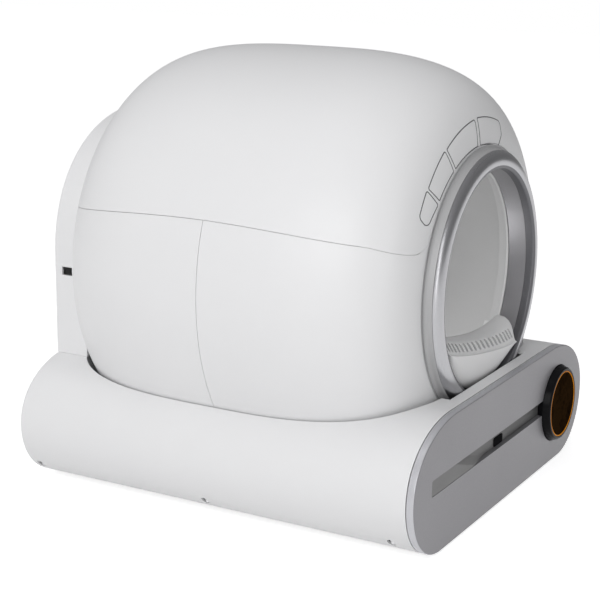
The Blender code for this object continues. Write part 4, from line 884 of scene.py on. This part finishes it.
def makeDrawer():
    low = drawer["stripHeight"] - drawer["stripWidth"] / 2
    high = drawer["stripHeight"] + drawer["stripWidth"] / 2
    centre = (drawer["discX"], 0, drawer["discZ"])
    plate = pushShape("drawerPlate", baseOutline(0, frontY), (0, drawer["thickness"], 0))
    roundEdges(plate, edgesAt(frontY), drawer["edgeRound"], 4)
    pocket = [Vector((x, frontY - overrun, z)) for x, z in
              roundBox(drawer["stripLeft"], drawer["discX"], low, high, drawer["cornerRound"])]
    carve(plate, pushShape("pocket", pocket, (0, overrun + drawer["stripDepth"], 0)))
    carve(plate, drill("discHole", centre, drawer["discHole"], frontY - overrun,
                       frontY + drawer["behind"], sides=drawer["discSides"]))
    finishPiece(plate, "drawer", "plate_silver", plateFace, plateEdgeHighlight, standsFor=("drawer_front",))
    # the plate's outer edges get the lighter coat: painted highlight
    paintFaces(plate, 1, lambda place, normal: abs(normal.y) < drawer["edgeFacing"] and
               (abs(place.x) > drawer["edgeX"] or not drawer["edgeLow"] <= place.z <= drawer["edgeTop"]))

    left = drawer["stripLeft"] + seatGap
    right = drawer["discX"]
    span = right - left
    fold = left + span * drawer["foldShare"]
    ramp = fold + span * drawer["rampShare"]
    backY = frontY + drawer["stripDepth"] - seatGap
    floorY = backY - drawer["stripFloor"]
    faceY = frontY + seatGap

    def stripSection(height, slant):
        return [Vector(point) for point in (
            (left, faceY, height), (fold + slant, faceY, height), (ramp + slant, floorY, height),
            (right, floorY, height), (right, backY, height), (left, backY, height))]

    lowEnd, highEnd = low + seatGap, high - seatGap
    strip = drawLine("gripStrip", stripSection(lowEnd, drawer["slant"]), filled=True)
    leaveEdit()
    upper = drawLine("gripStripTop", stripSection(highEnd, 0), filled=True)
    leaveEdit()
    useOnly(strip, upper)
    bpy.ops.object.join()
    editAll(strip)
    bpy.ops.mesh.bridge_edge_loops()
    cleanUp()
    roundEdges(strip, lambda a, b: abs(a.x - left) < sameSpot and abs(b.x - left) < sameSpot
               and abs(a.z - b.z) < sameSpot, drawer["cornerRound"] - seatGap, 5)
    roundEdges(strip, lambda a, b: abs(a.x - b.x) > drawer["longEdge"]
               and abs(a.z - b.z) > drawer["stripWidth"] / 2, drawer["rampRound"], 3)
    carve(strip, drill("stripEnd", centre, drawer["stripEnd"], frontY - overrun,
                       frontY + drawer["behind"], sides=drawer["discSides"]))
    finishPiece(strip, "drawer", "strip_grey", stripPlastic, standsFor=("grip_strip",))

    winLow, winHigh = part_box("sensor_window")
    outline = [Vector((x, winLow.y, z)) for x, z in
               roundBox(winLow.x, winHigh.x, winLow.z, winHigh.z, drawer["windowCorner"], 4)]
    window = pushShape("sensorWindow", outline, (0, winHigh.y - winLow.y, 0))
    roundEdges(window, edgesAt(winLow.y), drawer["windowEdge"], 2)
    finishPiece(window, "drawer", "gloss_black", windowBlack, standsFor=("sensor_window",))


makeDrawer()
print("drawer made")


# round control pod, light guide and display glass

pod = {
    "turns": 128, "radius": 0.0510, "draft": 0.00002, "step": 0.0004, "flange": 0.003,
    "flangeRadius": 0.0562, "glowInner": 0.0430, "glowOuter": 0.0443, "glowRise": 0.0005,
    "glowSteps": 6, "glassRadius": 0.0423,
    "rim": ((0.0015, 0), (0.0015, 0.0447), (0.0003, 0.0447), (0, 0.0450), (0, 0.0471),
            (0.0002, 0.0476), (0.0010, 0.0487), (0.0020, 0.0494)),      # behind the face, radius
    "glassEdge": ((0, 0.0006), (0.0002, 0.0001), (0.0004, 0)),          # behind the face, inwards
}


def makePod():
    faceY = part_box("control_pod")[0].y
    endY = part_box("control_pod")[1].y
    centre = Vector((drawer["discX"], 0, drawer["discZ"]))

    def spot(points):
        return [centre + Vector((0, y, out)) for y, out in points]

    flangeY, radius, flangeRadius = endY - pod["flange"], pod["radius"], pod["flangeRadius"]
    line = [(faceY + behind, out) for behind, out in pod["rim"]]
    line += [(frontY - pod["step"], radius - pod["draft"]), (frontY + pod["step"], radius),
             (flangeY, radius), (flangeY, flangeRadius), (endY, flangeRadius), (endY, 0)]
    body = spinLine("controlPod", spot(line), pod["turns"], centre, closed=False)
    finishPiece(body, "base", "gloss_black", pianoBlack, standsFor=("control_pod",))

    low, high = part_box("glow_ring")
    inner, outer, rise = pod["glowInner"], pod["glowOuter"], pod["glowRise"]
    middle, half = (inner + outer) / 2, (outer - inner) / 2
    line = [(high.y, inner)]
    for step in range(pod["glowSteps"] + 1):
        angle = pi * step / pod["glowSteps"]
        line.append((low.y + rise - rise * sin(angle), middle - half * cos(angle)))
    line.append((high.y, outer))
    glow = spinLine("glowRing", spot(line), pod["turns"], centre)
    finishPiece(glow, "base", "glow_orange", amberGlow, standsFor=("glow_ring",), sharp=60)

    low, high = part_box("display_lens")
    radius = pod["glassRadius"]
    line = [(low.y, 0)] + [(low.y + behind, radius - inwards) for behind, inwards in pod["glassEdge"]]
    line += [(high.y, radius), (high.y, 0)]
    lens = spinLine("displayGlass", spot(line), pod["turns"], centre, closed=False)
    finishPiece(lens, "base", "gloss_black", smokedGlass, standsFor=("display_lens",))


makePod()
print("controls made")


# turning drum and the sill that turns with it

drum = {
    "radius": 0.203, "wall": 0.003, "lipRadius": 0.146, "front": 0.0697, "lipLength": 0.0065,
    "nose": 0.028, "split": 0.1777, "rear": 0.4637, "rearRound": 0.024, "turns": 144,
    "noseSteps": 12, "portHalf": 0.062, "portStart": 0.190, "portLength": 0.170,
    "portCorner": 0.014, "portLow": 0.08, "portRise": 0.16, "bore": 0.0143, "lipRound": 0.0008,
    "lipBack": 0.0022, "neck": 0.1392, "neckGap": 0.0006,
    "neckLine": ((0, 0.0008), (0.0003, 0.0002), (0.0009, 0), (0.0030, 0), (0.0060, 0.0030)),
}


def parked(obj):                        # turns a finished drum piece to where the drum stands at rest
    useOnly(obj)
    obj.location = (0, 0, axisHeight)
    obj.rotation_euler = (0, parkAngle, 0)
    return settle(obj)


def fromCentre(points):
    return [Vector((0, y, out)) for y, out in points]


def makeDrum():
    start = frontY + drum["front"]
    lipEnd = start + drum["lipLength"]
    split = frontY + drum["split"]
    rear = frontY + drum["rear"]
    centre = (0, 0, 0)

    def nose(outset):
        inner = drum["lipRadius"] + drum["wall"] + outset
        outer = drum["radius"] + outset
        points = []
        for step in range(drum["noseSteps"] + 1):
            angle = pi / 2 * step / drum["noseSteps"]
            points.append((lipEnd - outset + (drum["nose"] + outset) * (1 - cos(angle)),
                           inner + (outer - inner) * sin(angle)))
        return points

    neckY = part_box("entrance_sleeve")[1].y + drum["neckGap"]
    lip, ease = drum["lipRadius"], drum["lipRound"]
    line = [(start + ease, lip + drum["wall"]), (start, lip + drum["lipBack"]), (start, lip + ease),
            (start + ease, lip), (neckY, lip)]      # the lip necks in just behind the sleeve
    line += [(neckY + behind, drum["neck"] + out) for behind, out in drum["neckLine"]]
    line += nose(-drum["wall"]) + [(split - seatGap / 2, drum["radius"] - drum["wall"])]
    line += [(split - seatGap / 2, drum["radius"])] + nose(0)[::-1]
    front = parked(spinLine("drumFront", fromCentre(line), drum["turns"], centre))
    finishPiece(front, "drum", "drum_grey", drumGrey, standsFor=("drum_front",), sharp=40)

    def tail(inset):
        points = []
        for step in range(drum["noseSteps"] + 1):
            angle = pi / 2 * step / drum["noseSteps"]
            size = drum["rearRound"] - inset
            points.append((rear - drum["rearRound"] + size * sin(angle),
                           drum["radius"] - drum["rearRound"] + size * cos(angle)))
        return points

    bore = drum["bore"]
    line = [(split + seatGap / 2, drum["radius"])] + tail(0) + [(rear, bore)]
    line += [(rear - drum["wall"], bore)] + tail(drum["wall"])[::-1]
    line += [(split + seatGap / 2, drum["radius"] - drum["wall"])]
    back = spinLine("drumRear", fromCentre(line), drum["turns"], centre)
    y = frontY + drum["portStart"]
    port = [Vector((px, py, drum["portLow"])) for px, py in
            roundBox(-drum["portHalf"], drum["portHalf"], y, y + drum["portLength"], drum["portCorner"])]
    carve(back, pushShape("port", port, (0, 0, drum["portRise"])))
    parked(back)
    finishPiece(back, "drum", "drum_grey", drumGrey, standsFor=("drum_rear",), sharp=40)


makeDrum()
print("drum made")


# ribbed sill inside the ring, each row of its profile: distance from the front edge, then the
# drop below the axis in the middle and at the two ends

sill = {
    "reach": 0.1349, "front": 0.0277, "depth": 0.040, "nose": 0.004, "bulge": 0.014,
    "acrossSteps": 36, "fineSteps": 26, "curve": 2.5, "ribSpan": 0.122, "ribStep": 6.5, "ribs": 9,
    "ribShare": 0.25, "ribDepth": 0.0034, "ribFoot": 0.0062, "ribHead": 0.0146, "ribCorner": 0.45,
    "smoothing": 0.0008, "spread": 1.3, "flangeWidth": 0.010, "flangeHalf": 60, "flangeSteps": 48,
    "flangeGap": 0.0008, "grooveMargin": 0.001, "grooveLeast": 0.0004, "grooveEnd": 0.004,
    "profile": ((0.0000, 0.0893, 0.0838), (0.0035, 0.0886, 0.0822), (0.0055, 0.0868, 0.0795),
                (0.0075, 0.0845, 0.0765), (0.0110, 0.0795, 0.0705), (0.0150, 0.0758, 0.0650),
                (0.0200, 0.0742, 0.0598), (0.0270, 0.0730, 0.0560), (0.0340, 0.0722, 0.0550),
                (0.0400, 0.0730, 0.0558)),
}


def sillDrops(along):                   # drop below the axis at the middle and at the ends
    rows = sill["profile"]
    for low, high in zip(rows, rows[1:]):
        if along <= high[0] + 1e-9:
            part = (along - low[0]) / (high[0] - low[0])
            return [low[i] + (high[i] - low[i]) * part for i in (1, 2)]
    return rows[-1][1:]


def sillFall(along, x):                 # the drop at one spot, and half the sill's width there
    middle, end = sillDrops(along)
    half = sqrt(sill["reach"] ** 2 - end ** 2)
    return middle + (end - middle) * abs(x / half) ** sill["curve"], half


def sillSection(along):
    y = frontY + sill["front"] + along
    shifts = (-sill["smoothing"], 0, sill["smoothing"])
    drops = [sillDrops(min(max(along + shift, 0), sill["depth"])) for shift in shifts]
    middle, end = (sum(drop[i] for drop in drops) / 3 for i in (0, 1))
    half = sqrt(sill["reach"] ** 2 - end ** 2)
    curl = max(0, 1 - along / sill["bulge"])
    fullness = sqrt(1 - curl ** 2)
    top, under = [], []
    for step in range(sill["acrossSteps"] + 1):
        share = 1 - 2 * step / sill["acrossSteps"]
        across = half * share
        fall = middle + (end - middle) * abs(share) ** sill["curve"]
        top.append(Vector((across, y, -fall)))
        full = sqrt(max(sill["reach"] ** 2 - across ** 2, 0))
        low = max(fall + max((full - fall) * fullness, 0), fall + sill["nose"] * (1 - share ** 2))
        under.append(Vector((across, y, -low)))
    return top + under[-2:0:-1]


def bridgeSections(name, sections):
    made = []
    for index, section in enumerate(sections):
        loop = drawLine(name + str(index), section, filled=True)
        if 0 < index < len(sections) - 1:
            bpy.ops.mesh.select_all(action="SELECT")
            bpy.ops.mesh.delete(type="ONLY_FACE")
        leaveEdit()
        made.append(loop)
    useOnly(*made)
    bpy.ops.object.join()
    obj = bpy.context.object
    obj.name = name
    editAll(obj)
    bpy.ops.mesh.bridge_edge_loops()
    cleanUp()
    return obj


def ribSlot(x, width):                  # a slot with round ends, laid along the steep front of the sill
    near, far = sill["ribFoot"], sill["ribHead"]
    drops = [sillFall(along, x)[0] for along in (near, far)]
    rise, run = drops[0] - drops[1], far - near
    length = sqrt(rise ** 2 + run ** 2)
    outline = [Vector((px, -sill["ribDepth"], pz)) for px, pz in
               roundBox(-width / 2, width / 2, -length / 2, length / 2, width * sill["ribCorner"], 4)]
    slot = pushShape("ribSlot", outline, (0, 2 * sill["ribDepth"], 0))
    slot.rotation_euler = (-asin(run / length), 0, 0)
    slot.location = (x, frontY + sill["front"] + (near + far) / 2, -(drops[0] + drops[1]) / 2)
    return settle(slot)


def inGroove(place, normal):            # true for a face that lies below the sill's own surface; these slot floors take the painted shade
    spot = Matrix.Rotation(-parkAngle, 3, "Y") @ (place - Vector((0, 0, axisHeight)))
    along = spot.y - frontY - sill["front"]
    margin = sill["grooveMargin"]
    if not sill["ribFoot"] - margin < along < sill["ribHead"] + margin:
        return False
    fall, half = sillFall(along, spot.x)
    return (sill["grooveLeast"] < -spot.z - fall < sill["ribDepth"] * 2
            and abs(spot.x) < half - sill["grooveEnd"])


def makeSill():
    stops = [sill["depth"] * (step / sill["fineSteps"]) ** sill["spread"]
             for step in range(sill["fineSteps"] + 1)]
    body = bridgeSections("entrySill", [sillSection(along) for along in stops])
    back = frontY + sill["front"] + sill["depth"]
    end = frontY + drum["front"] + drum["lipLength"]
    inner, outer = sill["reach"] - sill["flangeWidth"], drum["neck"] - seatGap
    start = max(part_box("entrance_sleeve")[1].y + sill["flangeGap"], back - sill["nose"])
    spread, count = sill["flangeHalf"], sill["flangeSteps"]
    arc = [radians(-spread + 2 * spread * step / count) for step in range(count + 1)]
    band = [Vector((outer * sin(a), start, -outer * cos(a))) for a in arc]
    band += [Vector((inner * sin(a), start, -inner * cos(a))) for a in reversed(arc)]
    carve(body, pushShape("sillFlange", band, (0, end - start, 0)), how="UNION")
    turn = radians(sill["ribStep"])
    for index in range(-sill["ribs"], sill["ribs"] + 1):
        x = sill["ribSpan"] * sin(turn * index)
        width = sill["ribSpan"] * (sin(turn * (index + sill["ribShare"])) -
                                   sin(turn * (index - sill["ribShare"])))
        carve(body, ribSlot(x, width))
    parked(body)
    finishPiece(body, "drum", "shell_white", sillWhite, grooveShadePaint, standsFor=("entry_sill",),
                sharp=30)
    # the slot floors get the darker coat: painted shade in the grooves
    paintFaces(body, 1, inGroove)


makeSill()
print("sill made")


# rear tower

tower = {
    "half": 0.190, "spring": 0.288, "rise": 0.177, "power": 2.16, "wall": 0.003, "depth": 0.0487,
    "cover": 0.003, "slotWidth": 0.016, "slotHeight": 0.011, "slotZ": 0.2695, "archSteps": 30,
    "edgeRound": 0.0025, "coverRound": 0.0008, "slotShare": 0.24, "barrelGap": 0.0005,
    "screwBore": 0.0037,
}


def towerOutline(inset, floorZ, y):
    half, rise = tower["half"] - inset, tower["rise"] - inset
    arch = shares(tower["power"], tower["archSteps"])
    right = [Vector((across * half, y, tower["spring"] + up * rise)) for across, up in arch]
    left = [Vector((-p.x, y, p.z)) for p in reversed(right[1:])]
    return [Vector((-half, y, floorZ))] + left + right + [Vector((half, y, floorZ))]


def baseBlock():                        # the base as a solid cutter
    return pushShape("baseBlock", baseOutline(-seatGap, frontY - overrun),
                     (0, rearY - frontY + 2 * overrun, 0))


def makeTower():
    floorZ = base["belt"]
    startY = rearY - tower["depth"]
    outer = pushShape("towerShell", towerOutline(0, floorZ, startY), (0, tower["depth"], 0))
    roundEdges(outer, edgesAt(rearY), tower["edgeRound"], 4)
    inner = pushShape("towerHollow", towerOutline(tower["wall"], floorZ - overrun, startY - overrun),
                      (0, tower["depth"] + 2 * overrun, 0))
    slotY = rearY - tower["depth"] * tower["slotShare"]
    slot = block("slot", (-tower["half"] - overrun, slotY - tower["slotWidth"],
                          tower["slotZ"] - tower["slotHeight"] / 2),
                 (-tower["half"] + overrun, slotY, tower["slotZ"] + tower["slotHeight"] / 2))
    carve(outer, inner, baseBlock(), housingBlock("barrel", tower["barrelGap"], 0), slot)
    finishPiece(outer, "base", "shell_white", satinWhite, standsFor=("tower_shell",))

    fit = tower["wall"] + seatGap
    cover = pushShape("towerCover", towerOutline(fit, floorZ, rearY - tower["cover"]),
                      (0, tower["cover"], 0))
    roundEdges(cover, edgesAt(rearY), tower["coverRound"], 2)
    carve(cover, baseBlock())
    for name in ("tower_screw_left", "tower_screw_right"):
        low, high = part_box(name)
        carve(cover, drill("screwBore", (low + high) / 2, tower["screwBore"], rearY - overrun,
                           rearY + overrun, sides=32))
    finishPiece(cover, "base", "shell_white", satinWhite, standsFor=("tower_cover",))


makeTower()
print("tower made")


# the CAD solids that stay in sight keep their shape and get their finish here

kept = {
    framePlastic: ("base_pan", "deck", "bay_left_wall", "bay_right_wall", "bay_rear_wall",
                   "front_frame", "bag_frame", "tower_plate", "bearing_housing", "gearbox",
                   "roller_bracket_left", "roller_bracket_right"),
    turnedSteel: ("runner_left", "runner_right", "hub_shaft", "pinion_shaft", "gear_motor",
                  "roller_pin_left", "roller_pin_right", "base_screw_front_left",
                  "base_screw_front_right", "base_screw_middle_left", "base_screw_middle_right",
                  "base_screw_rear_left", "base_screw_rear_right", "tower_screw_left",
                  "tower_screw_right"),
    nylon: ("ring_gear", "drum_hub", "pinion"),
    bronze: ("hub_bush",),
    softRubber: ("roller_left", "roller_right", "foot_front_left", "foot_front_right",
                 "foot_rear_left", "foot_rear_right"),
    binPlastic: ("drawer_bin",),
    drumGrey: ("sifting_screen",),
    pianoBlack: ("power_inlet",),
    boardGreen: ("control_board",),
}
for finish, names in kept.items():
    for name in names:
        nodes[name].data.materials.clear()
        nodes[name].data.materials.append(finish)
print("kept solids finished")


# floor, light and camera

studio = {
    "floorSize": 14, "paper": (0.80, 0.80, 0.80, 1), "lift": 0.66, "room": (0.99, 0.99, 1.0, 1),
    "toward": (-0.62, 0.45, 0.64), "dark": 0.12, "bright": 0.58, "aimHeight": 0.28,
}


def makeStage():
    dropSelection()
    bpy.ops.mesh.primitive_plane_add(size=studio["floorSize"], location=(0, 0, 0))
    floor = bpy.context.object
    floor.name = "studioFloor"
    made = bpy.data.materials.new("studio floor")
    made.use_nodes = True
    tree = made.node_tree
    tree.nodes.clear()
    output = addNode(tree, "ShaderNodeOutputMaterial")
    paper = addNode(tree, "ShaderNodeBsdfDiffuse", {"Color": studio["paper"]})
    lift = addNode(tree, "ShaderNodeEmission", {"Color": (1, 1, 1, 1)})
    rays = addNode(tree, "ShaderNodeLightPath")
    seen = addNode(tree, "ShaderNodeMath", operation="MAXIMUM")
    weight = addNode(tree, "ShaderNodeMath", {1: studio["lift"]}, operation="MULTIPLY")
    total = addNode(tree, "ShaderNodeAddShader")
    link = tree.links.new
    link(rays.outputs["Is Camera Ray"], seen.inputs[0])
    link(rays.outputs["Is Glossy Ray"], seen.inputs[1])
    link(seen.outputs[0], weight.inputs[0])
    link(weight.outputs[0], lift.inputs["Strength"])
    link(paper.outputs["BSDF"], total.inputs[0])
    link(lift.outputs["Emission"], total.inputs[1])
    link(total.outputs["Shader"], output.inputs["Surface"])
    floor.data.materials.append(made)

    world = bpy.context.scene.world or bpy.data.worlds.new("studio")
    bpy.context.scene.world = world
    world.use_nodes = True
    tree = world.node_tree
    tree.nodes.clear()
    output = addNode(tree, "ShaderNodeOutputWorld")
    room = addNode(tree, "ShaderNodeBackground", {"Color": studio["room"]})
    place = addNode(tree, "ShaderNodeTexCoord")
    toward = addNode(tree, "ShaderNodeVectorMath", operation="DOT_PRODUCT")
    toward.inputs[1].default_value = studio["toward"]
    level = addNode(tree, "ShaderNodeMapRange", {"From Min": -1.0, "From Max": 1.0,
                    "To Min": studio["dark"], "To Max": studio["bright"]})
    white = addNode(tree, "ShaderNodeBackground", {"Color": (1, 1, 1, 1), "Strength": 1.0})
    rays = addNode(tree, "ShaderNodeLightPath")
    mix = addNode(tree, "ShaderNodeMixShader")
    link = tree.links.new
    link(place.outputs["Generated"], toward.inputs[0])
    link(toward.outputs["Value"], level.inputs["Value"])
    link(level.outputs["Result"], room.inputs["Strength"])
    link(rays.outputs["Is Camera Ray"], mix.inputs["Fac"])
    link(room.outputs["Background"], mix.inputs[1])
    link(white.outputs["Background"], mix.inputs[2])
    link(mix.outputs["Shader"], output.inputs["Surface"])


lamps = {                               # place, size in metres, power in watts
    "keySoftbox": ((-3.2, -0.6, 1.7), (2.2, 2.2), 49),
    "frontStrip": ((-0.95, -3.0, 0.75), (0.45, 2.0), 11),
    "topSoftbox": ((-0.6, 0.6, 3.2), (2.0, 2.0), 10),
}
drumFill = {"place": (0, -0.10, 0.165), "radius": 0.05, "power": 0.31}


def makeLamps():
    for name, (place, size, power) in lamps.items():
        dropSelection()
        bpy.ops.object.light_add(type="AREA", location=place)
        lamp = bpy.context.object
        lamp.name = name
        lamp.data.shape = "RECTANGLE"
        lamp.data.size, lamp.data.size_y = size
        lamp.data.energy = power
        aim = Vector((0, 0, studio["aimHeight"])) - Vector(place)
        lamp.rotation_euler = aim.to_track_quat("-Z", "Y").to_euler()
    dropSelection()
    bpy.ops.object.light_add(type="POINT", location=drumFill["place"])
    lamp = bpy.context.object           # a little light inside the drum, out of the camera's sight
    lamp.name = "drumFill"
    lamp.data.shadow_soft_size = drumFill["radius"]
    lamp.data.energy = drumFill["power"]
    lamp.visible_camera = False


view = {"azimuth": -60.66, "elevation": 14.24, "roll": 0.65, "lens": 94.44,
        "sensor": 36, "near": 0.05, "far": 40, "place": (-1.7570, -0.9612, 0.7339)}


def makeCamera():
    a, e, r = radians(view["azimuth"]), radians(view["elevation"]), radians(view["roll"])
    back = Vector((sin(a) * cos(e), -cos(a) * cos(e), sin(e)))
    across = Vector((cos(a), sin(a), 0))
    up = back.cross(across)
    right = across * cos(r) + up * sin(r)
    upright = up * cos(r) - across * sin(r)
    dropSelection()
    bpy.ops.object.camera_add(location=view["place"])
    camera = bpy.context.object
    camera.name = "photoCamera"
    camera.data.lens = view["lens"]
    camera.data.sensor_width = view["sensor"]
    camera.data.clip_start, camera.data.clip_end = view["near"], view["far"]
    turn = Matrix((right, upright, back)).transposed()
    camera.rotation_euler = turn.to_euler()
    bpy.context.scene.camera = camera


makeStage()
makeLamps()
makeCamera()
bpy.context.scene.view_settings.view_transform = "Standard"
print("stage set")
